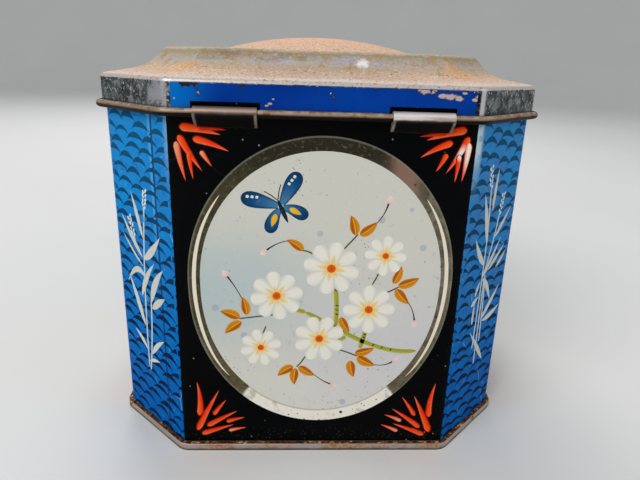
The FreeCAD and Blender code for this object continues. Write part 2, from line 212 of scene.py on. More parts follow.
def on_print(size):
    """A size as the print's map has it."""
    return mm(size) / PRINT_SPAN


def fade(start, end, share):
    """A colour part of the way from one to another."""
    share = min(max(share, 0.0), 1.0)
    return tuple(a + (b - a) * share for a, b in zip(start, end))


# Drawing on the flat


def new_drawing():
    """A flat drawing in millimetres: x along the wall, y up, z out of the wall."""
    drawing = bmesh.new()
    drawing.verts.layers.float_color.new("Paint")
    return drawing


def on_curve(spine, share):
    """The point and the heading on a curve through the pull of its points."""
    points = [Vector(p) for p in spine]
    while len(points) > 2:
        points = [a.lerp(b, share) for a, b in zip(points, points[1:])]
    return points[0].lerp(points[1], share), (points[1] - points[0]).normalized()


# How wide a stroke is on its way, as a share of its full width.


def blunt(share):
    """A brush set down round and lifted to a point."""
    return min(1.0, math.sqrt(max(share, 0.0) / 0.1)) * (1 - share ** 1.6) ** 0.8


def blade(share):
    """Pointed at both ends, widest below the middle."""
    return math.sin(math.pi * share ** 0.8) ** 0.9 if 0 < share < 1 else 0.0


def leaf(share):
    """Pointed at its tip, full near its foot."""
    return math.sin(math.pi * share ** 0.72) ** 0.75 if 0 < share < 1 else 0.0


def petal(share):
    """Narrow at its foot and round at its end."""
    return (0.30 + 0.85 * share ** 0.9) * math.sqrt(max(0.0, 1 - share ** 5))


def even(share):
    """A line of one width with soft ends."""
    return min(1.0, math.sqrt(max(0.0, share * (1 - share)) / 0.04))


def crescent(share):
    """Pointed at both ends and full between them."""
    return math.sin(math.pi * min(max(share, 0), 1)) ** 0.55


def arch(share):
    """Thick in the middle, with long fine ends."""
    return math.sin(math.pi * share) ** 1.3 if 0 < share < 1 else 0.0


def stalk(share):
    """Thicker towards its tip."""
    return 0.6 + 0.8 * share ** 3


def dot(share):
    """Round."""
    return math.sqrt(max(0.0, 4 * share * (1 - share)))


def brush(drawing, spine, half_width, taper, paint, height=STROKE, steps=12, across=2):
    """Lays one stroke along a curve: taper gives its width on the way, paint its colour."""
    layer = drawing.verts.layers.float_color["Paint"]
    grid = bmesh.ops.create_grid(drawing, x_segments=steps, y_segments=across, size=1.0)["verts"]
    for corner in grid:
        share, side = (1 - math.cos(math.pi * (corner.co.x + 1) / 2)) / 2, corner.co.y
        point, heading = on_curve(spine, share)
        reach = max(half_width * taper(share), FINEST) * side
        corner.co = (point.x - heading.y * reach, point.y + heading.x * reach, height)
        corner[layer] = (*paint(share, side), 1.0)


def plain(colour):
    """One ink for the whole stroke."""
    return lambda share, side: tuple(colour)


def raise_ink(drawing, ground):
    """Gives the flat shapes their thickness, down to the ground, and turns their faces outwards."""
    lifted = bmesh.ops.extrude_face_region(drawing, geom=drawing.faces[:], use_keep_orig=True)["geom"]
    for part in lifted:
        if isinstance(part, bmesh.types.BMVert):
            part.co.z = ground
    bmesh.ops.recalc_face_normals(drawing, faces=drawing.faces[:])


def cut(drawing, point, heading, drop=False):
    """Cuts the drawing along a line, and drops what lies beyond it where asked."""
    bmesh.ops.bisect_plane(drawing, geom=drawing.verts[:] + drawing.edges[:] + drawing.faces[:],
                           dist=SAME_SPOT, plane_co=point, plane_no=heading, clear_outer=drop)


def drop_faces(drawing, inside):
    """Removes the faces whose middle is inside a region."""
    gone = [f for f in drawing.faces if inside(f.calc_center_median())]
    bmesh.ops.delete(drawing, geom=gone, context="FACES")


def wrap(drawing, number):
    """Bends a drawing round the folds at the two sides of its wall."""
    flat, radius = flat_half(number), mm(sizes().corner_round)
    for corner in drawing.verts:
        beyond = abs(corner.co.x) - flat
        if beyond > 0:
            lift = radius + corner.co.z
            corner.co.z = lift * math.cos(beyond / radius) - radius
            corner.co.x = math.copysign(flat + lift * math.sin(beyond / radius), corner.co.x)


def flat_half(number):
    """Half of the flat of a wall."""
    return mm(sizes().slant_half if number % 2 else sizes().panel_half)


def print_half(number):
    """How far the print of a wall runs from its middle, round the folds."""
    black = mm(sizes().panel_wrap)
    blue = mm(sizes().corner_round) * math.radians(45) - black
    return flat_half(number) + (blue if number % 2 else black)


def free_seam(drawing):
    """Leaves a thin line of bare tin along the seam."""
    middle, gap = mm(sizes().seam_place), mm(sizes().seam_gap) / 2
    for edge in (middle - gap, middle + gap):
        cut(drawing, (edge, 0, 0), (1, 0, 0))
    drop_faces(drawing, lambda spot: abs(spot.x - middle) < gap)


def oval_spot(half, angle):
    """A spot on an oval that is a little fuller above its middle than below."""
    fuller = 1 + sizes().oval_fullness * max(math.sin(angle), 0.0)
    return Vector((mm(sizes().oval_aside) + half[0] * fuller * math.cos(angle),
                   mm(sizes().oval_middle) + half[1] * math.sin(angle)))


def turned(degrees, axis):
    """A turn about one axis."""
    return Matrix.Rotation(math.radians(degrees), 4, axis)


def wall_place(number):
    """Takes a drawing to its wall."""
    reach = sizes().slant_reach if number % 2 else sizes().broad_reach
    return (turned(45 * number, "Z") @ Matrix.Translation((0, -reach, 0)) @ turned(90, "X")
            @ Matrix.Scale(0.001, 4))


def mark_print(drawing):
    """Keeps each spot's place on the flat drawing for the materials, with the wall's middle at a half."""
    layer = drawing.loops.layers.uv.new("Print")
    for face in drawing.faces:
        for loop in face.loops:
            loop[layer].uv = (loop.vert.co.x / PRINT_SPAN + 0.5, loop.vert.co.y / PRINT_SPAN)


def new_piece(drawing, name, finish):
    """Turns a drawing into an object with one finish."""
    mesh = bpy.data.meshes.new(name)
    drawing.to_mesh(mesh)
    drawing.free()
    mesh.materials.append(finish)
    piece = bpy.data.objects.new(name, mesh)
    bpy.context.scene.collection.objects.link(piece)
    return piece


def put_on_wall(drawing, name, number, finish, ground=SKIN / 2, marked=False, bent=False):
    """Raises a flat drawing, marks and bends it where asked, and makes it a piece of the box."""
    raise_ink(drawing, ground)
    if marked:
        mark_print(drawing)
    if bent:
        wrap(drawing, number)
    drawing.transform(wall_place(number))
    piece = new_piece(drawing, name, finish)
    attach(piece, "box")


# Finishes


class Value:
    """A number or a colour that varies over a surface: the output of a node.

    Of two masks, a * b is where both hold, a | b where either holds, and ~a where a doesn't.
    """

    def __init__(self, made, socket):
        self.made, self.socket = made, socket

    def maths(self, operation, other=0.0):
        return self.made.add("ShaderNodeMath", {0: self, 1: other}, operation=operation)

    def __mul__(self, other):
        return self.maths("MULTIPLY", other)

    def __add__(self, other):
        return self.maths("ADD", other)

    def __sub__(self, other):
        return self.maths("SUBTRACT", other)

    def __truediv__(self, other):
        return self.maths("DIVIDE", other)

    def __or__(self, other):
        return self.maths("MAXIMUM", other)

    def __abs__(self):
        return self.maths("ABSOLUTE")

    def __invert__(self):
        return self.made.add("ShaderNodeMath", {0: 1.0, 1: self}, operation="SUBTRACT")

    def step(self, low, high):
        """0 at low and 1 at high, smooth between them."""
        return self.made.add("ShaderNodeMapRange", {"Value": self, "From Min": low, "From Max": high},
                             interpolation_type="SMOOTHSTEP")

    def above_zero(self):
        return self.step(-MIDDLE_EDGE, MIDDLE_EDGE)

    def below_zero(self):
        return self.step(MIDDLE_EDGE, -MIDDLE_EDGE)

    def between(self, rise, fall):
        """1 between two soft edges: each gives where its mask is 0 and where it is 1."""
        return self.step(*rise) * self.step(*fall)

    def wander(self, scale, amount, detail=4.0):
        """Strays by a noise, for ragged edges."""
        return self + (self.made.noise(scale, detail) - 0.5) * amount

    def blend(self, first, second):
        """From one number to another by this mask."""
        return self.made.add("ShaderNodeMix", {0: self, 2: first, 3: second}, data_type="FLOAT")

    def mix(self, first, second):
        """From one colour to another by this mask."""
        return self.made.add("ShaderNodeMix", {0: self, 6: first, 7: second}, 2, data_type="RGBA")

    def coat(self, colour, share):
        """This colour under another that covers a share of it."""
        return self.made.add("ShaderNodeMix", {0: share, 6: self, 7: colour}, 2, data_type="RGBA")

    def ramp(self, stops):
        """Tints in turn: each stop is a value and the tint there."""
        low, high = stops[0][0], stops[-1][0]
        share = self.made.add("ShaderNodeMapRange", {"Value": self, "From Min": low, "From Max": high})
        node = self.made.node("ShaderNodeValToRGB", {0: share})
        marks = node.color_ramp.elements
        for mark, (_, colour) in zip((marks[0], marks[-1]), (stops[0], stops[-1])):
            mark.color = (*shade(*colour), 1.0)
        for spot, colour in stops[1:-1]:
            marks.new((spot - low) / (high - low)).color = (*shade(*colour), 1.0)
        return Value(self.made, node.outputs[0])


class Finish:
    """A node material that is being put together."""

    def __init__(self, name):
        self.material = bpy.data.materials.new(name)
        self.material.use_nodes = True
        self.tree = self.material.node_tree
        self.shader = self.tree.nodes["Principled BSDF"]
        where = self.node("ShaderNodeTexCoord")
        self.place, self.facing = (Value(self, where.outputs[kind]) for kind in ("Object", "Normal"))
        self.x, self.y, self.z = self.axes(self.place)

    def node(self, kind, inputs=None, **settings):
        node = self.tree.nodes.new(kind)
        for name, setting in settings.items():
            setattr(node, name, setting)
        for name, given in (inputs or {}).items():
            self.feed(node.inputs[name], given)
        return node

    def add(self, kind, inputs=None, output=0, **settings):
        return Value(self, self.node(kind, inputs, **settings).outputs[output])

    def feed(self, socket, given):
        """Links a value to a socket, or sets a number, a vector, a colour or a named tint."""
        if isinstance(given, Value):
            self.tree.links.new(given.socket, socket)
        elif socket.type == "RGBA":
            socket.default_value = (*(tone(given) if isinstance(given, str) else given), 1.0)
        else:
            socket.default_value = given

    def surface(self, **sockets):
        """Feeds the shader's sockets, named with underscores."""
        for name, given in sockets.items():
            self.feed(self.shader.inputs[name.replace("_", " ")], given)

    def bump(self, height, strength, distance):
        relief = {"Height": height, "Strength": strength, "Distance": distance}
        self.surface(Normal=self.add("ShaderNodeBump", relief))

    def axes(self, vector):
        return [Value(self, part) for part in self.node("ShaderNodeSeparateXYZ", {0: vector}).outputs]

    def vectors(self, operation, first, second, output=0):
        return self.add("ShaderNodeVectorMath", {0: first, 1: second}, output, operation=operation)

    def flat(self):
        """The place on the flat drawing, as mark_print keeps it."""
        return self.axes(self.add("ShaderNodeUVMap", uv_map="Print"))

    def noise(self, scale, detail=3.0, roughness=0.55, stretch=(1, 1, 1)):
        vector = self.add("ShaderNodeMapping", {"Vector": self.place, "Scale": stretch})
        return self.add("ShaderNodeTexNoise", {"Vector": vector, "Scale": scale, "Detail": detail,
                                               "Roughness": roughness})

    def near(self, spot, reach):
        """A blot round a spot, with a ragged edge."""
        away = self.vectors("DISTANCE", self.place, spot, "Value")
        return away.wander(1.1 / reach, reach * 1.6).step(reach, reach * 0.35)

    def blots(self, spots, low=1.0):
        """How far the nearest ragged blot is, in its own reach: low makes the blots wider than high."""
        nearest, squash = FAR_AWAY, Vector((1.0, 1.0, low))
        place = self.vectors("MULTIPLY", self.place, squash)
        for spot, reach in spots:
            away = self.vectors("DISTANCE", place, Vector(spot) * squash, "Value") / reach
            nearest = self.add("ShaderNodeMath", {0: nearest, 1: away}, operation="MINIMUM")
        return nearest.wander(900, 1.4).wander(2600, 0.9)

    def specks(self, scale, share, size):
        """Small round marks in a share of the cells."""
        cells = self.node("ShaderNodeTexVoronoi", {"Vector": self.place, "Scale": scale})
        chance = self.axes(Value(self, cells.outputs["Color"]))
        away = Value(self, cells.outputs["Distance"]) - chance[1] * size
        return chance[0].step(1 - share, 1 - share + 0.01) * away.step(0.06, 0.0)

    def scratches(self, scale, width):
        """Thin straight lines, broken up."""
        away = self.add("ShaderNodeTexVoronoi", {"Vector": self.place, "Scale": scale}, "Distance",
                        feature="DISTANCE_TO_EDGE")
        return away.step(width, width * 0.3) * self.noise(scale * 2, 2.0).step(0.56, 0.62)


def enamel_finish():
    """Glossy black print, with dust specks and fine scratches."""
    made = Finish("black_enamel")
    haze = made.noise(45, 5.0).step(0.35, 0.75)
    low = made.z.wander(300, 0.004).step(0.0075, 0.002)
    dust = low * made.specks(2600, 0.45, 0.22) * 0.5
    specks = made.specks(900, 0.08, 0.14) | made.specks(420, 0.02, 0.06) | dust
    marks = specks * 0.5 | made.scratches(38, 0.003) * 0.015
    black = haze.mix(colours().enamel, "dull_black")
    made.surface(Base_Color=black.coat(low.mix("pale_dust", "brown_dust"), marks),
                 Roughness=haze.blend(0.16, 0.28), Specular_IOR_Level=0.03)
    made.bump(made.noise(160, 4.0) + marks * 0.6, 0.12, 0.0001)
    return made.material


def painted_fold_highlights(made):
    """Where a painted highlight lies along the folds beside the hinge and front walls: near the top, wider
    on the right.
    """
    right = made.x.above_zero()
    beyond = abs(made.y).wander(90, 0.0006) - right.blend(0.0487, 0.0476)
    return beyond.step(-0.0003, 0.0011) * made.z.wander(60, 0.008).step(0.063, 0.077) * right.blend(0.4, 0.9)


def azure_finish():
    """Blue print of the slanted walls, deeper towards the foot, with pale specks, a painted grey sheen
    mostly on the right, painted highlights along the folds, and a painted highlight and shadow along the
    seam.
    """
    ink, made = colours(), Finish("azure_print")
    cloud = made.noise(70, 4.0).step(0.3, 0.7)
    # A painted grey sheen, strongest on the right half and from mid height up.
    side_sheen = made.x.above_zero().blend(0.3, 1.0) * made.z.step(0.022, 0.060) * cloud.blend(0.1, 0.3)
    folds = painted_fold_highlights(made)
    # Along the seam the sheet stands up a little: a painted highlight on one side and a painted shadow on
    # the other.
    past = made.flat()[0] - (0.5 + on_print(sizes().seam_place))
    seam_wall = made.x.below_zero() * made.y.below_zero()
    lit = seam_wall * past.between((-0.0125, -0.0100), (-0.0015, -0.0035)) * made.z.step(0.040, 0.062)
    shadow = seam_wall * past.between((0.0, 0.0015), (0.0075, 0.0040))
    blue = (made.z.step(0.0, 0.085).mix(ink.deep_azure, ink.azure)
            .coat("cloudy_blue", cloud * 0.35)
            .coat("blue_grain", made.noise(520, 4.0, 0.65).step(0.50, 0.68) * 0.4)
            .coat("bright_grain", made.noise(760, 3.0, 0.6).step(0.60, 0.72) * 0.35)
            .coat("side_sheen_grey", side_sheen)
            # Painted highlights along the folds.
            .coat("fold_highlight_blue", folds)
            .coat("fold_highlight_core", folds.step(0.55, 0.9) * 0.7)
            .coat("seam_light", lit * 0.5)
            .coat("seam_shadow", shadow * 0.75))
    specks = made.specks(800, 0.10, 0.16) | made.scratches(60, 0.004)
    made.surface(Base_Color=blue.coat("blue_speck", specks * 0.7),
                 Roughness=cloud.blend(0.22, 0.34), Specular_IOR_Level=0.006)
    made.bump(made.noise(220, 4.0), 0.12, 0.0001)
    return made.material


def navy_finish():
    """Dark ink of the fish scales, thin in places, with a painted highlight along the folds."""
    made = Finish("navy_ink")
    thin = made.noise(420, 3.0).step(0.45, 0.8)
    dark = (thin * 0.4).mix(colours().navy, "thin_navy").coat("high_navy", made.z.step(0.02, 0.085) * 0.85)
    made.surface(Base_Color=dark.coat("fold_highlight_navy", painted_fold_highlights(made).step(0.0, 0.7)),
                 Roughness=thin.blend(0.24, 0.36), Specular_IOR_Level=0.006)
    made.bump(made.noise(300, 3.0), 0.10, 0.0001)
    return made.material


def disc_finish():
    """Pale print of the discs, clouded with blue and lilac, pitted with grey."""
    ink, made = colours(), Finish("disc_cream")
    flat = made.flat()
    drift = (made.noise(30, 3.0) - 0.5) * 0.12
    across, up = flat[0] + drift, flat[1] + drift
    mist = abs(up - 0.43).step(0.20, 0.02) * across.step(0.66, 0.26)
    lilac = up.step(0.56, 0.26) * across.step(0.34, 0.62)
    worn = made.noise(42, 4.0).step(0.40, 0.62)
    low_left = flat[0].step(0.46, 0.36) * flat[1].step(0.32, 0.22) * 0.8
    pits = (made.specks(800, 0.20, 0.16) * worn.blend(0.15, 0.8)
            | made.specks(1500, 0.50, 0.20) * (made.noise(60, 4.0).step(0.52, 0.64) | low_left))
    smudges = made.noise(420, 4.0, 0.6).step(0.60, 0.70) * worn
    marks = pits * 0.8 | smudges * 0.45
    pale = (mist.mix(ink.cream, ink.mist)
            .coat(ink.lilac, lilac * 0.75)
            .coat("disc_foot", up.step(0.30, 0.12) * 0.5)
            .coat("lilac_spot", made.specks(300, 0.14, 0.22) * 0.55)
            .coat("grey_pit", marks))
    made.surface(Base_Color=pale, Roughness=worn.blend(0.26, 0.40), Specular_IOR_Level=0.15)
    made.bump(made.noise(180, 4.0) - marks, 0.10, 0.0001)
    return made.material


def band_finish():
    """Bare tin under dark lacquer, mottled and pale at the outer edge, with painted reflections: lighter to
    the right and low down, dark at the top, a glint upper right and cream at the foot.
    """
    size, made = sizes(), Finish("band_lacquer")
    flat = made.flat()
    up = (flat[1] - on_print(size.oval_middle)) / on_print(size.band_half_height)
    fuller = (up | 0.0) * size.oval_fullness + 1.0
    across = (flat[0] - (0.5 + on_print(size.oval_aside))) / (fuller * on_print(size.band_half_width))
    reach = (across * across + up * up).maths("SQRT")
    mottle = made.noise(260, 5.0, 0.62).step(0.34, 0.66)
    specks = made.specks(800, 0.20, 0.22)
    # A painted glint in the upper right.
    glint = across.wander(200, 0.08).between((0.40, 0.52), (0.72, 0.60)) * up.step(0.5, 0.7)
    below = abs(across) + up * 0.78
    # The cream at the foot is a painted reflection.
    cream = below.wander(160, 0.10).step(0.02, -0.02) * up.step(0.0, -0.2)
    smudge = made.noise(240, 4.0).step(0.53, 0.66) * 0.55
    blots = cream * (made.specks(620, 0.16, 0.24) | made.specks(1400, 0.20, 0.22))
    edge = reach.step(0.986, 0.992) * ~cream
    # Painted reflections on the lacquer: lighter to the right and low down, dark at the top; a painted
    # shadow line along the inner edge of the cream.
    tin = (across.step(-0.2, 0.75).mix(colours().lacquer, "band_right")
           .coat("band_low_reflection", up.step(0.1, -0.7) * 0.8)
           .coat("band_top_dark_reflection", up.step(0.6, 0.92))
           .coat("band_mottle", mottle * 0.65)
           .coat("band_grain", made.noise(1000, 3.0, 0.65).step(0.54, 0.68) * 0.35)
           .coat("band_pit", made.noise(800, 3.0, 0.65).step(0.56, 0.68) * 0.6)
           .coat("band_glint", glint * 0.8)
           .coat(smudge.mix("band_cream_reflection", "band_smudge"), cream)
           .coat("band_line_shadow", cream * reach.step(0.925, 0.915) * 0.5)
           .coat("band_blot", specks * 0.8 | blots)
           .coat("band_edge", edge * 0.5))
    made.surface(Base_Color=tin, Metallic=(specks | cream).blend(0.55, 0.1),
                 Roughness=mottle.blend(0.26, 0.42), Specular_IOR_Level=0.2)
    made.bump(made.noise(260, 4.0), 0.12, 0.0001)
    return made.material


def paint_finish():
    """Brush strokes, coloured stroke by stroke, rubbed thin in small spots."""
    known = bpy.data.materials.get("brush_paint")
    if known:
        return known
    made = Finish("brush_paint")
    paint = made.add("ShaderNodeAttribute", None, "Color", attribute_name="Paint")
    thin = made.noise(620, 3.0).step(0.58, 0.76) * 0.2
    made.surface(Base_Color=paint.coat(paint.coat("rubbed_paint", 0.4), thin),
                 Roughness=thin.blend(0.26, 0.5), Specular_IOR_Level=0.04)
    made.bump(made.noise(420, 3.0), 0.15, 0.0001)
    return made.material


def tarnished(made, dark, pale, scale=1.0):
    """Mottled tin: its colour, roughness and a height for its pits."""
    blotch = made.noise(95 * scale, 5.0, 0.62).step(0.34, 0.70)
    colour = blotch.mix(dark, pale).coat("tin_fleck", made.specks(950 * scale, 0.22, 0.20) * 0.8)
    return colour, blotch.blend(0.52, 0.34), made.noise(900 * scale, 3.0, 0.6) * 0.5 + blotch


def wall_tin_finish():
    """Plain tin inside the box and along its seam, under thin golden lacquer."""
    made = Finish("wall_tin")
    colour, rough, height = tarnished(made, "golden_dark", "golden_pale")
    made.surface(Base_Color=colour, Metallic=0.85, Roughness=rough)
    made.bump(height, 0.08, 0.0001)
    return made.material


def lid_finish():
    """The lid by its parts: dusty top, stained riser, chipped blue skirt, bare corners and bead, with
    painted highlights, reflections and shade.
    """
    made = Finish("worn_lid")
    facing = made.axes(made.facing)
    high, level = made.z, facing[2]
    from_middle = made.vectors("SUBTRACT", made.place, (0.0, 0.0, 0.05))
    outside = made.vectors("DOT_PRODUCT", from_middle, made.facing, "Value").step(-0.002, 0.002)
    along = made.y * facing[0] - made.x * facing[1]

    # Bare corners of the skirt: dark tin, finely speckled, with a painted highlight along the folds and
    # painted shade beside them. Inside, plain tin.
    colour, rough, height = tarnished(made, "corner_dark", "corner_pale", 1.6)
    widest = abs(facing[0]) | abs(facing[1])
    # A painted highlight along the folds.
    rubbed = (widest.between((0.83, 0.90), (0.985, 0.965))
              * made.noise(420, 4.0, 0.6, (1, 1, 0.3)).step(0.22, 0.6))
    # Painted shade beside the folds.
    fold_shade = widest.between((0.965, 0.985), (0.9995, 0.997)) * (facing[0] * facing[1]).step(0.02, -0.02)
    colour = (colour.coat("corner_mottle", made.noise(430, 5.0, 0.7).step(0.44, 0.62))
              .coat("corner_speck", made.noise(1500, 2.0, 0.6).step(0.58, 0.68) * 0.8)
              .coat("corner_fold_shade", fold_shade * 0.75)
              .coat("scraped_tin", made.blots(SCRAPES).step(1.1, 0.4) * 0.7)
              .coat("fold_highlight_tin", rubbed))
    colour = outside.mix(tarnished(made, "golden_dark", "golden_pale")[0], colour)

    # Dust and stains on the top, in bands from the shoulder up over the riser to the dome, with a painted
    # highlight along the shoulder and a painted lilac reflection on the riser.
    top = outside * level.wander(260, 0.2).step(0.12, 0.25)
    edge = top * high.step(0.08835, 0.0881)
    drift = high.wander(420, 0.0011).wander(60, 0.0016)
    beside = abs(made.x).maths("MINIMUM", abs(made.y))
    # Darker in the middle of each side of the brim.
    darker_middle = beside.step(0.024, 0.010) * high.between((0.0884, 0.0889), (0.0914, 0.0908)) * 0.4
    # A painted lilac reflection on the middle of the riser.
    riser_reflection = (made.noise(75, 3.0).step(0.50, 0.64) * drift.between((0.0905, 0.0914), (0.0938, 0.0930))
             * beside.step(0.026, 0.017))
    streak = (drift.between((0.0916, 0.0923), (0.0938, 0.0932)) * made.noise(260, 4.0).step(0.42, 0.60)
              * made.x.between((-0.030, -0.022), (0.002, -0.005)))
    golden = made.noise(330, 5.0, 0.65).step(0.52, 0.64) * high.between((0.0898, 0.0904), (0.0945, 0.0938))
    amber = made.near((-0.0306, -0.0410, 0.0903), 0.0058) | made.near((0.0302, -0.0402, 0.0907), 0.0060)
    scuff = made.near((0.0084, -0.0392, 0.0920), 0.0020)
    grit = made.noise(1700, 3.0, 0.7)
    loose = high.between((0.0900, 0.0908), (0.0945, 0.0940)).blend(0.8, 0.3)
    dust = (drift.ramp(LID_DUST_AND_SHEEN)
            .coat("darker_brim", darker_middle)
            .coat("lilac_reflection", riser_reflection * 0.5)
            .coat("brown_streak", streak * 0.6)
            .coat("golden_stain", golden * 0.6)
            .coat("amber_stain", amber * made.noise(520, 4.0, 0.65).step(0.10, 0.62) * 0.5)
            .coat("white_scuff", scuff * 0.9)
            .coat("pale_grit", grit.step(0.52, 0.68) * loose)
            .coat("dark_grit", made.noise(1300, 3.0, 0.65).step(0.54, 0.66) * loose * 0.8))

    # Blue skirt on the broad sides: azure at one end, flaked off along its top.
    brow = high.wander(150, 0.0016).wander(900, 0.0007)
    blue = (outside * widest.step(0.9965, 0.9985) * level.step(0.88, 0.75)
            * high.step(BEAD_TOP - 0.00005, BEAD_TOP + 0.0001) * brow.step(0.0883, 0.0878))
    worn_end = high.step(0.0850, 0.0874) * along.step(0.004, 0.024) * 0.10
    wear = made.noise(330, 5.0, 0.62) + (worn_end + high.step(0.0864, 0.0876) * 0.05)
    chips = made.blots([((x, SKIRT_FACE, z), reach) for x, z, reach in CHIPS], low=2.0)
    bruises = made.blots([((x, SKIRT_FACE, z), reach) for x, z, reach in BRUISES])
    flake = wear.step(0.695, 0.71) | chips.step(1.0, 0.6) | made.specks(600, 0.06, 0.14)
    dark = wear.step(0.66, 0.685) | (chips.step(1.3, 0.9) * 0.6 | bruises.step(1.0, 0.8))
    skirt = (made.noise(45, 3.0).step(0.4, 0.7).mix(colours().lid_blue, "skirt_shade")
             .coat("skirt_azure", along.step(-0.020, -0.0312))
             .coat("skirt_bruise", dark)
             .coat("skirt_flake", flake))

    # The bead at the lower edge: brown, with a painted highlight along its top and painted shade below.
    bead = high.step(BEAD_TOP + 0.00005, BEAD_TOP - 0.0001)
    below = level.wander(300, 0.2).step(0.35, -0.20)
    roll = (made.noise(260, 4.0, 0.65).step(0.50, 0.64).mix("bead_brown", "bead_rust")
            .coat("bead_highlight", level.step(0.25, 0.75) * made.noise(500, 3.0).step(0.40, 0.62))
            .coat("bead_shade", below))

    metal = blue.blend(edge.blend(top.blend(0.8, 0.0), 0.5), 0.0)
    rough = blue.blend(edge.blend(top.blend(rough, 0.9), 0.34), 0.3)
    made.surface(Base_Color=colour.coat(dust, top).coat(skirt, blue).coat(roll, bead),
                 Metallic=bead.blend(metal, ~below * 0.45), Roughness=bead.blend(rough, 0.46),
                 Specular_IOR_Level=0.05)
    relief = height * 0.12 + top * ~edge * grit * 1.6
    made.bump(relief + blue * ~flake * 0.25, 0.35, 0.00025)
    return made.material


def foot_finish():
    """The bare base: rust on the ledge of its seam, pale along the rounded edge as a painted highlight, and
    painted shade towards the table.
    """
    made = Finish("foot_tin")
    facing = made.axes(made.facing)
    colour, rough, height = tarnished(made, "foot_dark", "foot_pale")
    seam = (abs(made.x) | abs(made.y)).step(0.030, 0.036)
    grain = made.noise(900, 4.0, 0.65)
    slanted = abs(facing[0] * facing[1]).step(0.2, 0.4)
    # Silver patches, with a painted highlight over the slanted sides.
    silver_and_sheen = made.noise(130, 4.0).step(0.4, 0.66) | slanted * 0.8
    rim = grain.step(0.42, 0.62).mix("foot_warm", "foot_grain").coat("foot_silver_sheen", silver_and_sheen)
    # Painted shade at the foot of the seam, next to the table.
    contact_shade = seam * made.z.wander(300, 0.0006).step(0.0009, 0.0001)
    ledge = seam * facing[2].wander(420, 0.25).step(0.80, 0.93) * made.z.step(0.0012, 0.0016)
    rust = ledge | seam * made.noise(170, 5.0, 0.65).step(0.62, 0.70)
    colour = colour.coat(rim, seam).coat("foot_contact_shade", contact_shade * 0.9).coat(grain.ramp(FOOT_RUST), rust)
    made.surface(Base_Color=colour, Metallic=rust.blend(0.6, 0.0), Roughness=rust.blend(rough, 0.8),
                 Specular_IOR_Level=0.25)
    made.bump(height + rust * made.noise(1200, 3.0), 0.2, 0.00015)
    return made.material


def strap_finish():
    """Bare straps: brushed along the roll, with a painted highlight on top, painted shade below and pale
    ends.
    """
    made = Finish("strap_tin")
    first, last = (corner.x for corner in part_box("hinge_strap_right"))
    half = (last - first) / 2
    colour, rough, height = tarnished(made, "strap_dark", "strap_pale", 1.3)
    streaks = made.noise(700, 3.0, 0.6, (0.08, 1.0, 1.0))
    colour = (colour.coat("strap_streak", streaks.step(0.40, 0.72))
              .coat("strap_brown", made.x.below_zero() * 0.45))
    ends = abs(abs(made.x) - (first + last) / 2).step(half - 0.0007, half - 0.0003)
    # Outside, the roll has a painted highlight on top and painted shade from its front down, and a stronger
    # painted highlight on the right one.
    right = made.x.above_zero()
    rise = made.z.wander(420, 0.0004) + right.blend(0.00012, 0.00047)
    roll_highlight = rise.step(0.0817, 0.0821) * right * streaks.step(0.25, 0.62) * 0.9
    roll = rise.ramp(STRAP_ROLL_SHADING).coat("strap_highlight", roll_highlight)
    outside = made.y.step(-0.0500, -0.0503) * ~(ends * rise.step(0.0822, 0.0814) * 0.7)
    dull = outside * rise.step(0.0820, 0.0815)
    made.surface(Base_Color=colour.coat(roll, outside), Metallic=dull.blend(0.7, 0.0),
                 Roughness=dull.blend(rough, 0.6), Specular_IOR_Level=0.05)
    made.bump(height + streaks, 0.18, 0.0001)
    return made.material


def floor_finish():
    """Plain pale floor."""
    made = Finish("pale_floor")
    made.surface(Base_Color=made.noise(6, 2.0).mix("floor_dark", "floor_pale"), Roughness=0.85,
                 Specular_IOR_Level=0.2)
    return made.material


# The pieces


class TINBOX_OT_wall_print(bpy.types.Operator):
    """Prints the broad walls black and the slanted walls blue"""

    bl_idname = "tinbox.wall_print"
    bl_label = "Print the walls"

    # Cuts on each side that let the print bend round a fold, and the bare tin beside a strap.
    FOLD_CUTS, STRAP_ROOM = 6, 0.25

    def execute(self, context):
        black, blue = enamel_finish(), azure_finish()
        for number, name in {**BROAD_WALLS, **SLANTED_WALLS}.items():
            drawing = self.sheet(print_half(number))
            flat, end = flat_half(number), print_half(number)
            for part in range(self.FOLD_CUTS):
                for side in (-1, 1):
                    cut(drawing, (side * (flat + (end - flat) * part / self.FOLD_CUTS), 0, 0), (1, 0, 0))
            if number == HINGE_WALL:
                self.free_straps(drawing)
            if number == SEAM_WALL:
                free_seam(drawing)
            kind, finish = ("slant_", blue) if number in SLANTED_WALLS else ("panel_", black)
            put_on_wall(drawing, kind + name, number, finish, ground=0.0, marked=True, bent=True)
        return {"FINISHED"}

    @staticmethod
    def sheet(half):
        """A flat sheet of print."""
        low, high = mm(sizes().print_low), mm(sizes().print_high)
        drawing = new_drawing()
        bmesh.ops.create_grid(drawing, x_segments=1, y_segments=1, size=1.0)
        bmesh.ops.scale(drawing, vec=(half, (high - low) / 2, 1), verts=drawing.verts[:])
        bmesh.ops.translate(drawing, vec=(0, (low + high) / 2, SKIN), verts=drawing.verts[:])
        return drawing

    def free_straps(self, drawing):
        """Leaves the tin bare round the slots that the hinge straps pass through."""
        low, high = mm(sizes().slot_low), mm(sizes().slot_high)
        for strap in ("hinge_strap_left", "hinge_strap_right"):
            first, last = (mm(corner.x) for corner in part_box(strap))
            first, last = first - self.STRAP_ROOM, last + self.STRAP_ROOM
            for edge in (first, last):
                cut(drawing, (edge, 0, 0), (1, 0, 0))
            for edge in (low, high):
                cut(drawing, (0, edge, 0), (0, 1, 0))
            drop_faces(drawing, lambda spot: first < spot.x < last and low < spot.y < high)


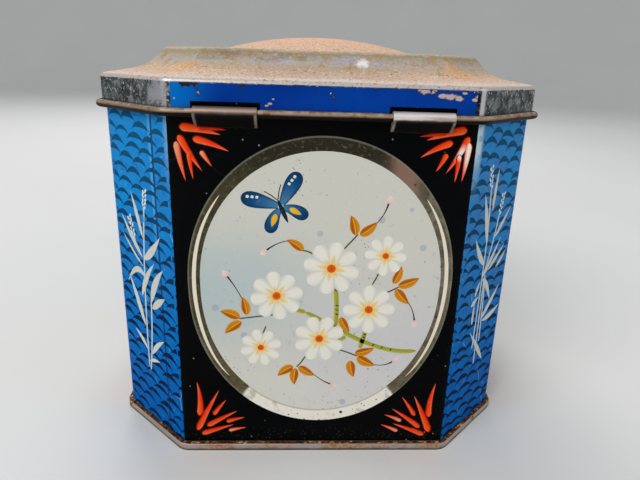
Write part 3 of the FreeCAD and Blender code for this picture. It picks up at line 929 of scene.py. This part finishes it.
class TINBOX_OT_medallions(bpy.types.Operator):
    """Lays the oval bands, the pale discs and the crescents on the broad walls"""

    bl_idname = "tinbox.medallions"
    bl_label = "Lay the ovals"

    # How far the bands run under the discs, and the crescents' half width and height above the bands.
    OVERLAP, CRESCENT_HALF, CRESCENT_LIFT = 0.1, 0.44, 0.012
    # Where a crescent passes, in degrees round the oval.
    CRESCENT_TURNS = (41, 22, 2, -20, -42)

    def execute(self, context):
        size = sizes()
        outer = (mm(size.band_half_width), mm(size.band_half_height))
        inner = (mm(size.disc_half_width), mm(size.disc_half_height))
        band, disc, paint = band_finish(), disc_finish(), paint_finish()
        for number, name in BROAD_WALLS.items():
            drawing = new_drawing()
            for half in (outer, (inner[0] - self.OVERLAP, inner[1] - self.OVERLAP)):
                self.oval(drawing, half, OVAL)
            bmesh.ops.bridge_loops(drawing, edges=drawing.edges[:])
            put_on_wall(drawing, "band_" + name, number, band, marked=True)

            drawing = new_drawing()
            self.oval(drawing, inner, DISC)
            bmesh.ops.contextual_create(drawing, geom=drawing.edges[:])
            put_on_wall(drawing, "disc_" + name, number, disc, marked=True)

            drawing = new_drawing()
            for side in (-1, 1):
                middle = (side * (outer[0] + inner[0]) / 2, (outer[1] + inner[1]) / 2)
                spots = [oval_spot(middle, math.radians(turn)) for turn in self.CRESCENT_TURNS]
                brush(drawing, self.through(spots), self.CRESCENT_HALF, crescent, plain(colours().crescent),
                      OVAL + self.CRESCENT_LIFT, steps=40, across=1)
            put_on_wall(drawing, "crescents_" + name, number, paint)
        return {"FINISHED"}

    @staticmethod
    def oval(drawing, half, height):
        """The outline of an oval."""
        for corner in bmesh.ops.create_circle(drawing, segments=120, radius=1.0)["verts"]:
            corner.co = (*oval_spot(half, math.atan2(corner.co.y, corner.co.x)), height)

    @staticmethod
    def through(spots):
        """Points whose pull takes a curve of five points through the spots."""
        shares = [0, 0.25, 0.5, 0.75, 1]
        rows = [[math.comb(4, i) * s ** i * (1 - s) ** (4 - i) for i in range(5)] for s in shares]
        inner = Matrix([row[1:4] for row in rows[1:4]]).inverted()
        rest = [spot - row[0] * spots[0] - row[4] * spots[4] for spot, row in zip(spots[1:4], rows[1:4])]
        xs, ys = (inner @ Vector([spot[axis] for spot in rest]) for axis in (0, 1))
        return [spots[0], *(Vector((x, y)) for x, y in zip(xs, ys)), spots[4]]


class TINBOX_OT_corner_sprays(bpy.types.Operator):
    """Paints a spray of flame strokes in each corner of the broad walls"""

    bl_idname = "tinbox.corner_sprays"
    bl_label = "Paint the corner sprays"

    # Each stroke: thick end, tip, bow to its left, half width, kind.
    STROKES = (
        ((-29.45, 78.6), (-21.35, 77.2), 0.5, 0.828, "flame"),
        ((-25.45, 78.3), (-20.15, 78.2), 0.2, 0.414, "ember"),
        ((-26.85, 76.3), (-19.75, 73.9), 0.5, 0.713, "flame"),
        ((-29.75, 76.9), (-25.35, 69.8), -0.4, 0.713, "flame"),
        ((-30.35, 75.6), (-28.75, 67.6), -0.3, 0.632, "peach"),
        ((-27.85, 73.5), (-27.15, 68.0), -0.2, 0.46, "flame"),
        ((-25.35, 73.8), (-23.25, 70.7), -0.1, 0.483, "peach"),
        ((29.65, 79.5), (21.55, 77.2), -0.4, 0.828, "flame"),
        ((25.45, 78.5), (19.95, 77.9), -0.2, 0.414, "ember"),
        ((30.25, 78.0), (26.25, 70.4), 0.5, 0.713, "chipped"),
        ((26.95, 76.8), (20.55, 73.6), -0.5, 0.69, "flame"),
        ((30.45, 76.8), (29.75, 68.7), 0.3, 0.667, "bare"),
        ((25.95, 74.4), (24.05, 70.7), 0.2, 0.517, "flame"),
        ((28.65, 74.3), (28.25, 68.5), 0.2, 0.483, "tipped"),
        ((-28.1, 9.4), (-28.4, 18.6), -0.9, 0.713, "flame"),
        ((-28.7, 5.2), (-23.3, 16.4), 0.3, 0.713, "flame"),
        ((-24.7, 9.6), (-21.7, 13.7), 0.2, 0.483, "flame"),
        ((-26.3, 6.4), (-19.1, 10.6), 0.2, 0.632, "flame"),
        ((-21.6, 7.6), (-17.3, 8.8), 0.3, 0.483, "flame"),
        ((-27.7, 4.1), (-20.1, 6.7), 0.1, 0.632, "flame"),
        ((-21.1, 5.0), (-17.0, 5.9), 0.2, 0.437, "peach"),
        ((28.3, 9.0), (29.2, 18.5), 0.9, 0.713, "flame"),
        ((28.8, 4.6), (24.3, 14.9), -0.3, 0.782, "flame"),
        ((24.8, 9.4), (21.3, 14.7), -0.2, 0.483, "flame"),
        ((26.3, 5.9), (19.1, 11.3), -0.3, 0.598, "flame"),
        ((21.5, 7.8), (17.3, 9.6), -0.3, 0.483, "peach"), ((27.5, 3.7), (19.6, 7.0), -0.2, 0.632, "flame"),
        ((20.8, 4.8), (16.6, 6.7), -0.2, 0.46, "peach"),
    )
    # Strokes that may cross differ in height: how much, and how many heights there are.
    LIFT, LIFTS = 0.003, 7
    # How far the dark stroke below shows round the coloured one, and how much lower it lies.
    DARK_EDGE, DARK_DROP = 0.2, 0.01

    def execute(self, context):
        paint = paint_finish()
        for number, name in BROAD_WALLS.items():
            drawing = new_drawing()
            for count, (foot, tip, *looks) in enumerate(self.STROKES):
                height = STROKE + self.LIFT * (count % self.LIFTS)
                self.stroke(drawing, Vector(foot), Vector(tip), height, *looks)
            put_on_wall(drawing, "sprays_" + name, number, paint)
        return {"FINISHED"}

    def stroke(self, drawing, foot, tip, height, bow, half, kind):
        """A coloured stroke on a dark one."""
        run = tip - foot
        bend = foot + run * 0.45 + Vector((-run.y, run.x)).normalized() * bow
        brush(drawing, (foot - run * 0.02, bend, tip + run * 0.03), half + self.DARK_EDGE, blunt,
              plain(colours().ember), height - self.DARK_DROP)
        brush(drawing, (foot, bend, tip), half, blunt, self.stroke_colour(kind, run.x < 0), height,
              steps=14, across=4)

    @staticmethod
    def stroke_colour(kind, leftwards):
        """Orange-red in the middle, dark at the upper edge and pale at the lower edge and the tip."""
        ink = colours()
        white = tone("chipped_white")

        def paint(share, side):
            upper = -side if leftwards else side
            if kind == "ember":
                return fade(ink.ember, ink.flame, 0.45 - upper * 0.3)
            core = fade(ink.flame, tone("bright_flame"), 0.5 - share)
            if kind == "peach":
                core = fade(ink.peach, ink.flame, share * 1.1)
            elif kind == "bare":
                core = fade(white, ink.flame, (share - 0.45) * 2.5)
            elif kind == "tipped":
                core = fade(white, ink.flame, (share - 0.12) * 6)
            elif kind == "chipped":
                core = fade(core, white, 1.5 - abs(share - 0.44) * 7)
            core = fade(core, ink.peach, (share - 0.65) * 0.9)
            if upper < -0.4:
                return fade(core, ink.peach, (-upper - 0.4) * 0.6)
            return fade(core, tone("deep_flame"), (upper - 0.2) * 1.1)

        return paint


class TINBOX_OT_scales(bpy.types.Operator):
    """Paints rows of fish scales round the slanted walls"""

    bl_idname = "tinbox.scales"
    bl_label = "Paint the fish scales"

    # How far the rows sink for each unit to the right, and where the first row lies above the print's foot.
    SLOPE, FIRST_ROW = 0.17, 1.6
    # Scales on each side of the middle of a row, and the first number that the hand draws from.
    REACH, SEED = 3, 20

    def execute(self, context):
        size, navy = sizes(), navy_finish()
        width, rise = mm(size.scale_width), mm(size.scale_rise)
        rows = int((mm(size.print_high) - mm(size.print_low)) / rise)
        for number, name in SLANTED_WALLS.items():
            hand = random.Random(self.SEED + number)
            drawing = new_drawing()
            for row in range(-1, rows + 2):
                lean = hand.uniform(-0.6, 0.6) + (width / 2 if row % 2 else 0.0)
                level = mm(size.print_low) + self.FIRST_ROW + row * rise
                for column in range(-self.REACH, self.REACH + 1):
                    along = column * width + lean
                    self.scale(drawing, hand, along, level - self.SLOPE * along, width)
            self.trim(drawing, number)
            put_on_wall(drawing, "scales_" + name, number, navy, bent=True)
        return {"FINISHED"}

    @staticmethod
    def scale(drawing, hand, middle, level, width):
        """One arch, thick at its top and drawn out to long fine feet."""
        middle, level = middle + hand.uniform(-0.6, 0.6), level + hand.uniform(-0.55, 0.55)
        reach = width * hand.uniform(0.52, 0.66)
        fall = hand.uniform(0.9, 1.4)
        skew = hand.uniform(-0.8, 0.6)
        spine = ((middle - reach, level - fall * 0.9), (middle - reach * 0.45 + skew, level + 0.9),
                 (middle + reach * 0.4 + skew, level + 0.95), (middle + reach * 1.15, level - fall * 1.2))
        thick = mm(sizes().scale_brush) / 2 * hand.uniform(0.75, 1.2)
        brush(drawing, spine, thick, arch, plain(colours().navy), SCALE, steps=10, across=1)

    @staticmethod
    def trim(drawing, number):
        """Keeps the ink on its wall and off the seam."""
        end, low, high = print_half(number), mm(sizes().print_low), mm(sizes().print_high)
        for edge, heading in (((end, 0, 0), (1, 0, 0)), ((-end, 0, 0), (-1, 0, 0)),
                              ((0, high, 0), (0, 1, 0)), ((0, low, 0), (0, -1, 0))):
            cut(drawing, edge, heading, drop=True)
        if number == SEAM_WALL:
            free_seam(drawing)


class TINBOX_OT_reeds(bpy.types.Operator):
    """Paints a pale sprig of reeds on each slanted wall"""

    bl_idname = "tinbox.reeds"
    bl_label = "Paint the reeds"

    # Blades: foot, bend, tip, half width. Stems: foot, bend, tip. Ears: foot, tip.
    LEFT_BLADES = (
        ((-0.3, 51.6), (-2.2, 57.2), (-4.3, 62.2), 0.72), ((-1.1, 46.6), (-5.6, 50.6), (-9.5, 55.9), 0.72),
        ((-1.2, 44.4), (-5.4, 46.9), (-9.7, 51.2), 0.36), ((-0.4, 46.3), (3.2, 48.4), (7.2, 53.5), 1.0),
        ((-0.6, 41.6), (-4.2, 45.4), (-9.0, 38.2), 0.78), ((-2.6, 36.2), (-0.8, 41.6), (3.9, 46.2), 0.85),
        ((1.5, 35.6), (3.2, 41.8), (7.6, 45.6), 1.05), ((1.8, 34.1), (4.6, 36.6), (7.7, 38.5), 0.95),
        ((-2.1, 28.2), (-4.6, 34.2), (-8.2, 40.6), 0.9), ((-1.9, 21.6), (-4.2, 24.2), (-7.4, 25.6), 0.6),
        ((0.2, 21.0), (2.4, 24.6), (6.2, 26.8), 0.7), ((-1.3, 18.4), (0.8, 19.8), (3.6, 20.0), 0.5),
    )
    LEFT_STEMS = (
        ((-1.7, 16.4), (-1.8, 38.0), (0.9, 57.4)), ((-1.2, 15.8), (1.0, 26.0), (1.4, 36.4)),
        ((0.7, 55.6), (1.0, 57.6), (1.1, 59.4)), ((-2.6, 47.6), (-3.8, 49.2), (-4.4, 51.2)),
    )
    LEFT_EARS = (
        ((1.1, 59.0), (2.0, 63.4)), ((-4.4, 51.0), (-5.9, 56.0)),
    )
    RIGHT_BLADES = (
        ((-0.3, 60.0), (-0.3, 65.0), (0.5, 70.2), 0.62), ((-1.0, 51.8), (-2.6, 58.4), (-5.2, 64.7), 0.85),
        ((2.9, 52.8), (6.2, 55.4), (10.2, 59.6), 0.6), ((-0.8, 46.3), (-4.4, 49.4), (-7.1, 54.3), 0.8),
        ((-1.4, 42.8), (2.4, 46.6), (6.7, 52.1), 0.68), ((1.6, 44.4), (5.4, 46.8), (9.5, 49.9), 0.58),
        ((6.0, 44.1), (8.6, 45.8), (10.9, 48.0), 0.5), ((-0.8, 42.9), (2.6, 40.6), (5.1, 35.3), 0.78),
        ((1.4, 31.0), (5.4, 34.4), (9.8, 38.4), 0.8), ((2.2, 30.4), (7.2, 30.2), (11.6, 32.4), 0.8),
        ((-5.2, 36.6), (-3.4, 37.4), (-1.8, 38.4), 0.65), ((-3.6, 38.8), (-3.0, 40.8), (-1.8, 42.4), 0.5),
        ((-3.3, 31.0), (-3.6, 34.0), (-3.3, 37.0), 0.5), ((5.2, 18.2), (1.6, 23.0), (-3.7, 29.0), 0.68),
    )
    RIGHT_STEMS = (
        ((-1.5, 23.6), (-1.0, 34.0), (-1.1, 43.0)), ((0.6, 18.4), (0.4, 32.0), (0.2, 43.0)),
        ((2.0, 24.6), (1.8, 34.0), (0.4, 43.6)), ((-1.2, 42.6), (-0.6, 52.0), (-2.6, 66.0)),
        ((-1.0, 43.2), (2.2, 49.0), (3.9, 58.8)),
    )
    RIGHT_EARS = (
        ((-2.7, 65.6), (-3.6, 71.0)), ((3.9, 58.4), (5.0, 63.6)),
    )
    # Walls with the left sprig, and the first number that the hand draws from.
    LEFT_WALLS, SEED = (3, 7), 60
    # Heights of the stems and of the blades and ears over them, the stems' half width, and dabs in an ear.
    STEM, BLADE, STEM_HALF, DABS = STROKE + 0.004, STROKE + 0.008, 0.28, 9

    def execute(self, context):
        paint, stem_ink = paint_finish(), plain(fade(colours().reed, tone("reed_stem"), 0.35))
        for number, name in SLANTED_WALLS.items():
            left = number in self.LEFT_WALLS
            hand = random.Random(self.SEED + number)
            drawing = new_drawing()
            for spine in self.LEFT_STEMS if left else self.RIGHT_STEMS:
                brush(drawing, spine, self.STEM_HALF, even, stem_ink, self.STEM, steps=14, across=1)
            for *spine, half in self.LEFT_BLADES if left else self.RIGHT_BLADES:
                brush(drawing, spine, half, blade, self.blade_colour(hand), self.BLADE, steps=14, across=4)
            for foot, tip in self.LEFT_EARS if left else self.RIGHT_EARS:
                self.ear(drawing, Vector(foot), Vector(tip), hand)
            put_on_wall(drawing, "reeds_" + name, number, paint, bent=True)
        return {"FINISHED"}

    @staticmethod
    def blade_colour(hand):
        """Pale, with a bluish edge and a faint tan vein."""
        pale, warm, cool = colours().reed, tone("reed_vein"), tone("reed_edge")
        warmth = hand.uniform(0.1, 0.6)

        def paint(share, side):
            inside = fade(pale, warm, warmth * (1 - abs(side)))
            return fade(inside, cool, (abs(side) - 0.3) * 1.1 + (share - 0.75))

        return paint

    def ear(self, drawing, foot, tip, hand):
        """Short slanted dabs in two rows up a stalk."""
        run = tip - foot
        aside = Vector((-run.y, run.x)).normalized()
        pale = plain(tone("reed_ear"))
        for dab in range(self.DABS):
            side = 1 if dab % 2 else -1
            start = foot + run * (dab / self.DABS) + aside * side * hand.uniform(0.1, 0.3)
            end = start + run.normalized() * hand.uniform(0.7, 1.1) + aside * side * hand.uniform(0.4, 0.7)
            spine = (start, start.lerp(end, 0.5), end)
            brush(drawing, spine, 0.3, even, pale, self.BLADE, steps=4, across=1)


class TINBOX_OT_pictures(bpy.types.Operator):
    """Paints a spray of daisies with a butterfly on each disc"""

    bl_idname = "tinbox.pictures"
    bl_label = "Paint the pictures"

    # Heights of the layers of paint.
    STALK, LOW_WING, BUD, HIGH_WING, LEAF = 0.044, 0.046, 0.048, 0.050, 0.052
    WING_FLASH, WING_SPOT, PETAL, FEELER, BODY = 0.056, 0.058, 0.060, 0.062, 0.066
    PETAL_LIFT, RAY, HEART, HEART_DOT = 0.004, 0.070, 0.076, 0.080
    # Where the butterfly is, its lean in degrees, and the walls whose picture is turned round.
    BUTTERFLY, LEAN, TURNED_WALLS = (-8.6, 19.0), 24, (2, 6)
    # Where dark bars cross a stem, as shares of its length.
    BARS = (0.22, 0.30, 0.38, 0.66, 0.73)
    # Daisies: middle, reach, turn. All places are from the middle of the disc.
    DAISIES = (
        ((-9.6, -1.4), 6.0, 10), ((2.6, 5.4), 6.3, 34), ((11.6, -4.6), 6.0, 2), ((0.4, -12.2), 5.9, 22),
        ((-13.2, -14.6), 4.8, 15), ((14.6, 8.6), 4.7, 40),
    )
    # Leaves: foot, tip, half width.
    LEAVES = (
        ((18.0, 1.4), (22.6, 3.4), 1.15), ((17.6, 0.6), (20.8, -3.0), 1.15),
        ((16.8, 2.0), (18.4, 6.2), 1.0), ((9.6, -17.0), (13.9, -19.2), 1.2),
        ((9.0, -16.0), (13.4, -14.6), 1.1), ((8.0, -18.0), (9.0, -22.4), 1.15),
        ((-5.6, -19.6), (-9.2, -22.2), 1.1), ((-5.0, -20.2), (-5.2, -24.6), 1.1),
        ((-4.2, -19.6), (-0.4, -22.0), 1.05), ((-18.0, -7.0), (-22.4, -5.4), 1.15),
        ((-17.6, -8.0), (-21.4, -11.0), 1.15), ((-16.4, -6.2), (-17.4, -1.8), 1.05),
        ((7.6, 13.4), (6.4, 17.8), 1.1), ((8.6, 13.4), (12.2, 16.4), 1.1),
        ((-3.8, 9.6), (-7.4, 12.0), 1.0), ((5.2, -6.6), (7.4, -10.4), 1.0),
    )
    STEMS = (
        ((23.6, -15.2), (14.0, -16.6), (6.0, -10.0), (-3.0, -5.4)),
        ((10.0, -14.6), (11.4, -10.0), (11.6, -5.0)), ((4.0, -9.0), (4.6, -2.0), (2.8, 4.6)),
        ((6.6, -11.6), (3.0, -14.0), (0.6, -12.6)), ((-3.0, -5.4), (-7.0, -4.6), (-9.6, -1.6)),
    )
    TWIGS = (
        ((-9.0, -6.0), (-14.0, -6.6), (-18.2, -7.2)), ((-2.0, -15.4), (-3.4, -18.4), (-4.8, -19.8)),
        ((3.0, -14.6), (6.4, -15.2), (9.6, -16.8)), ((12.8, -1.2), (15.6, -0.4), (18.2, 1.2)),
        ((4.6, 9.4), (6.4, 11.4), (8.2, 13.6)), ((-12.0, -9.0), (-13.0, -11.6), (-13.2, -14.0)),
        ((-1.0, 8.4), (-2.6, 9.6), (-4.0, 9.6)), ((12.0, 1.6), (13.6, 4.6), (14.6, 8.0)),
    )
    # Buds on fine stalks: foot, bend, bud.
    BUDS = (
        ((-17.4, -2.2), (-18.8, 0.8), (-20.6, 3.2)), ((12.0, 16.0), (13.8, 18.0), (14.4, 20.6)),
        ((13.6, -19.0), (16.2, -19.6), (18.0, -18.2)), ((-0.6, -21.8), (1.4, -23.6), (3.4, -24.4)),
        ((20.6, -2.6), (22.2, -5.0), (22.4, -7.2)), ((-7.2, 11.8), (-9.6, 11.4), (-11.8, 9.6)),
    )

    def execute(self, context):
        paint = paint_finish()
        for number, name in BROAD_WALLS.items():
            drawing = new_drawing()
            self.spray(drawing)
            self.butterfly(drawing, Vector(self.BUTTERFLY))
            if number in self.TURNED_WALLS:
                drawing.transform(Matrix.Scale(-1, 4, (1, 0, 0)))
            bmesh.ops.translate(drawing, vec=(0, mm(sizes().oval_middle), 0), verts=drawing.verts[:])
            put_on_wall(drawing, "picture_" + name, number, paint, ground=SKIN)
        return {"FINISHED"}

    def spray(self, drawing):
        """Stems first, then twigs, buds, leaves and flowers."""
        ink = colours()
        bark, twig = plain(ink.bark), plain(fade(ink.bark, ink.moss, 0.25))

        def stem(share, side):
            return fade(ink.moss, tone("lit_moss"), side)

        def bud(share, side):
            return fade(ink.blush, ink.petal, share * 0.8)

        for spine in self.STEMS:
            brush(drawing, spine, 0.55, even, stem, self.STALK, steps=18)
            for bar in self.BARS:
                point, heading = on_curve(spine, bar)
                aside = Vector((-heading.y, heading.x))
                mark = (point - aside * 0.55, point, point + aside * 0.3 + heading * 0.25)
                brush(drawing, mark, 0.16, blade, bark, self.BUD, steps=4, across=1)
        for spine in self.TWIGS:
            brush(drawing, spine, 0.17, even, twig, self.STALK, steps=10, across=1)
        for foot, bend, tip in self.BUDS:
            brush(drawing, (foot, bend, tip), 0.15, stalk, bark, self.STALK, steps=10, across=1)
            end = Vector(tip) + (Vector(tip) - Vector(bend)).normalized() * 1.8
            brush(drawing, (tip, end), 0.75, leaf, bud, self.BUD, steps=8)
        for foot, tip, half in self.LEAVES:
            self.leaf(drawing, Vector(foot), Vector(tip), half)
        for middle, reach, turn in self.DAISIES:
            self.daisy(drawing, Vector(middle), reach, turn)

    def leaf(self, drawing, foot, tip, half):
        """Amber, darker on one half, with a yellow vein and edge."""
        ink = colours()
        bend = foot.lerp(tip, 0.5) + Vector((tip.y - foot.y, foot.x - tip.x)) * 0.12

        def paint(share, side):
            body = fade(ink.amber, ink.russet, 0.5 + side * 0.9)
            body = fade(body, ink.pollen, (abs(side) - 0.7) * 1.6)
            return fade(body, ink.pollen, 0.9 - abs(side) * 6) if share < 0.85 else body

        brush(drawing, (foot, bend, tip), half, leaf, paint, self.LEAF, steps=14, across=12)

    def daisy(self, drawing, middle, reach, turn):
        """Eight rounded petals, a ring of yellow rays and an orange heart."""
        ink = colours()

        def white(share, side):
            body = fade(fade(ink.pollen, ink.petal, 0.62), ink.petal, share * 2.2)
            return fade(body, tone("petal_edge"), (abs(side) - 0.62) * 1.9)

        def yellow(share, side):
            return fade(ink.pollen, fade(ink.pollen, ink.petal, 0.6), share)

        for part in range(8):
            angle, odd = math.radians(turn + part * 45), part % 2
            way = Vector((math.cos(angle), math.sin(angle)))
            brush(drawing, (middle + way * 0.5, middle + way * reach), reach * 0.34, petal, white,
                  self.PETAL + self.PETAL_LIFT * odd, steps=10, across=4)
            ray = (middle + way * 0.3, middle + way * reach * (0.42 + 0.12 * odd))
            brush(drawing, ray, reach * 0.075, blade, yellow, self.RAY, steps=6, across=1)
        for share, colour, height in ((0.155, ink.heart, self.HEART),
                                      (0.075, fade(ink.heart, ink.russet, 0.6), self.HEART_DOT)):
            side = Vector((reach * share, 0))
            brush(drawing, (middle - side, middle + side), reach * share, dot, plain(colour), height)

    def butterfly(self, drawing, middle):
        """Four blue wings with dark edges and yellow flashes, a slim body and feelers."""
        ink = colours()
        edge = fade(ink.wing, ink.bark, 0.75)
        cosine, sine = math.cos(math.radians(self.LEAN)), math.sin(math.radians(self.LEAN))

        def curve(*spots):
            """A curve through places on the butterfly, leaned with it."""
            return [middle + Vector((across * cosine - along * sine, across * sine + along * cosine))
                    for across, along in spots]

        def wing(share, side):
            body = fade(ink.wing, fade(ink.wing, tone("wing_light"), 0.5), 0.7 - share)
            return fade(body, edge, max(share - 0.72, abs(side) - 0.62) * 3.2)

        def flash(share, side):
            return fade(ink.pollen, ink.heart, share * 0.35)

        for side, wide in ((-1, -1.0), (1, 0.94)):
            high = curve((side * 0.4, 0.9), (wide * 3.0, 3.0), (wide * 7.0, 5.8))
            brush(drawing, high, 2.1, petal, wing, self.HIGH_WING, steps=14, across=8)
            low = curve((side * 0.4, 0.0), (wide * 2.6, -0.8), (wide * 4.6, -4.0))
            brush(drawing, low, 1.8, petal, wing, self.LOW_WING, steps=14, across=8)
            brush(drawing, curve((side * 1.6, -0.6), (wide * 3.6, -2.8)), 0.62, leaf, flash,
                  self.WING_FLASH, steps=8)
            for spot in range(3):
                ends = curve((wide * (3.6 + spot * 0.9), 4.2 + spot * 0.45),
                             (wide * (4.1 + spot * 0.9), 4.6 + spot * 0.5))
                brush(drawing, ends, 0.3, even, plain(tone("wing_spot")), self.WING_SPOT, steps=4)
            brush(drawing, curve((side * 0.2, 2.2), (side * 0.8, 3.8), (side * 2.0, 5.0)), 0.10, even,
                  plain(ink.bark), self.FEELER, steps=8, across=1)
        brush(drawing, curve((0, -3.4), (0, 0), (0, 2.6)), 0.5, blade,
              lambda share, side: fade(ink.bark, ink.wing, 0.4 - abs(side)), self.BODY, across=4)


class TINBOX_OT_tin_finishes(bpy.types.Operator):
    """Gives the wall, the foot, the lid and the straps their worn finishes"""

    bl_idname = "tinbox.tin_finishes"
    bl_label = "Wear the tin"

    def execute(self, context):
        strap = strap_finish()
        worn = {"body_wall": wall_tin_finish(), "base_pan": foot_finish(), "lid_shell": lid_finish(),
                "hinge_strap_left": strap, "hinge_strap_right": strap}
        for name, finish in worn.items():
            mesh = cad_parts[name].data
            mesh.materials.clear()
            mesh.materials.append(finish)
        return {"FINISHED"}


class TINBOX_OT_stage(bpy.types.Operator):
    """Sets the pale floor, the soft lamps, the surroundings and the camera"""

    bl_idname = "tinbox.stage"
    bl_label = "Set the stage"

    # The floor's flat reach, its bend's radius and angle in degrees, and the slope above the bend.
    FLOOR_REACH, BEND_RADIUS, BEND_ANGLE, SLOPE = 1.6, 0.7, 80, (0.1, 0, 0.7)
    # Lamps: name, place, width, power. They all point at one spot of the box.
    LAMPS = (("key", (-0.55, -0.65, 0.75), 0.7, 5.2), ("fill", (0.75, -0.45, 0.45), 0.6, 0.9),
             ("back", (-0.15, 0.7, 0.8), 0.6, 4.0))
    LIT_SPOT, SKY_STRENGTH = (0, 0, 0.05), 0.5
    # The camera's place in metres, its turn, tilt and roll in degrees, its lens and sensor in millimetres.
    EYE, TURN, TILT, ROLL = (-0.005794, -0.160334, 0.091275), -2.921, -18.226, -1.887
    LENS, SENSOR, NEAR = 29.797, 36.0, 0.01

    def execute(self, context):
        self.floor()
        self.lamps()
        self.surroundings(context.scene)
        self.camera(context.scene)
        context.scene.view_settings.view_transform = "Standard"
        return {"FINISHED"}

    def floor(self):
        """A round floor that curves up into a backdrop on all sides."""
        dish = bmesh.new()
        spots = [dish.verts.new(p) for p in ((0, 0, 0), (self.FLOOR_REACH, 0, 0))]
        dish.edges.new(spots)
        bend = bmesh.ops.spin(dish, geom=[spots[1]], cent=(self.FLOOR_REACH, 0, self.BEND_RADIUS),
                              axis=(0, -1, 0), angle=math.radians(self.BEND_ANGLE), steps=10)
        top = next(p for p in bend["geom_last"] if isinstance(p, bmesh.types.BMVert))
        dish.edges.new((top, dish.verts.new(top.co + Vector(self.SLOPE))))
        bmesh.ops.remove_doubles(dish, verts=dish.verts[:], dist=SAME_SPOT)
        bmesh.ops.spin(dish, geom=dish.verts[:] + dish.edges[:], cent=(0, 0, 0), axis=(0, 0, 1),
                       angle=math.tau, steps=64, use_merge=True)
        bmesh.ops.remove_doubles(dish, verts=dish.verts[:], dist=SAME_SPOT)
        bmesh.ops.recalc_face_normals(dish, faces=dish.faces[:])
        if sum(f.normal.z for f in dish.faces) < 0:
            bmesh.ops.reverse_faces(dish, faces=dish.faces[:])
        floor = new_piece(dish, "floor", floor_finish())
        floor.data.polygons.foreach_set("use_smooth", [True] * len(floor.data.polygons))

    def lamps(self):
        """A large soft lamp from the upper left, a weaker one from the right and one behind."""
        for name, spot, width, power in self.LAMPS:
            lamp = bpy.data.lights.new(name, "AREA")
            lamp.shape, lamp.size, lamp.energy = "DISK", width, power
            holder = bpy.data.objects.new(name, lamp)
            holder.location = spot
            aim = Vector(self.LIT_SPOT) - Vector(spot)
            holder.rotation_euler = aim.to_track_quat("-Z", "Y").to_euler()
            bpy.context.scene.collection.objects.link(holder)

    def surroundings(self, scene):
        """An even pale sky."""
        world = scene.world or bpy.data.worlds.new("pale_sky")
        scene.world = world
        world.use_nodes = True
        sky = world.node_tree.nodes["Background"]
        sky.inputs["Color"].default_value = (*tone("pale_sky"), 1.0)
        sky.inputs["Strength"].default_value = self.SKY_STRENGTH

    def camera(self, scene):
        """The place and the tilt that the picture was taken from."""
        lens = bpy.data.cameras.new("camera")
        lens.sensor_width, lens.lens, lens.clip_start = self.SENSOR, self.LENS, self.NEAR
        eye = bpy.data.objects.new("camera", lens)
        eye.matrix_world = (Matrix.Translation(self.EYE) @ turned(self.TURN, "Z") @ turned(self.TILT, "X")
                            @ turned(self.ROLL, "Y") @ turned(90, "X"))
        scene.collection.objects.link(eye)
        scene.camera = eye


STEPS = (TINBOX_OT_wall_print, TINBOX_OT_medallions, TINBOX_OT_corner_sprays, TINBOX_OT_scales,
         TINBOX_OT_reeds, TINBOX_OT_pictures, TINBOX_OT_tin_finishes, TINBOX_OT_stage)


class TINBOX_PT_panel(bpy.types.Panel):
    """Sizes, colours and steps of the tin box"""

    bl_idname = "TINBOX_PT_panel"
    bl_label = "Tin Box"
    bl_space_type = "VIEW_3D"
    bl_region_type = "UI"
    bl_category = "Tin Box"

    def draw(self, context):
        for step in STEPS:
            self.layout.operator(step.bl_idname)
        for group in (sizes(), colours()):
            column = self.layout.column()
            for name in group.bl_rna.properties.keys():
                if name not in ("name", "rna_type"):
                    column.prop(group, name)


CLASSES = (TinBoxSizes, TinBoxColours, *STEPS, TINBOX_PT_panel)


def register():
    for item in CLASSES:
        bpy.utils.register_class(item)
    bpy.types.Scene.tin_box_sizes = PointerProperty(type=TinBoxSizes)
    bpy.types.Scene.tin_box_colours = PointerProperty(type=TinBoxColours)


def unregister():
    del bpy.types.Scene.tin_box_colours
    del bpy.types.Scene.tin_box_sizes
    for item in reversed(CLASSES):
        bpy.utils.unregister_class(item)


def main():
    register()
    bpy.ops.tinbox.wall_print()
    bpy.ops.tinbox.medallions()
    bpy.ops.tinbox.corner_sprays()
    bpy.ops.tinbox.scales()
    bpy.ops.tinbox.reeds()
    bpy.ops.tinbox.pictures()
    bpy.ops.tinbox.tin_finishes()
    bpy.ops.tinbox.stage()


if __name__ == "__main__":
    main()
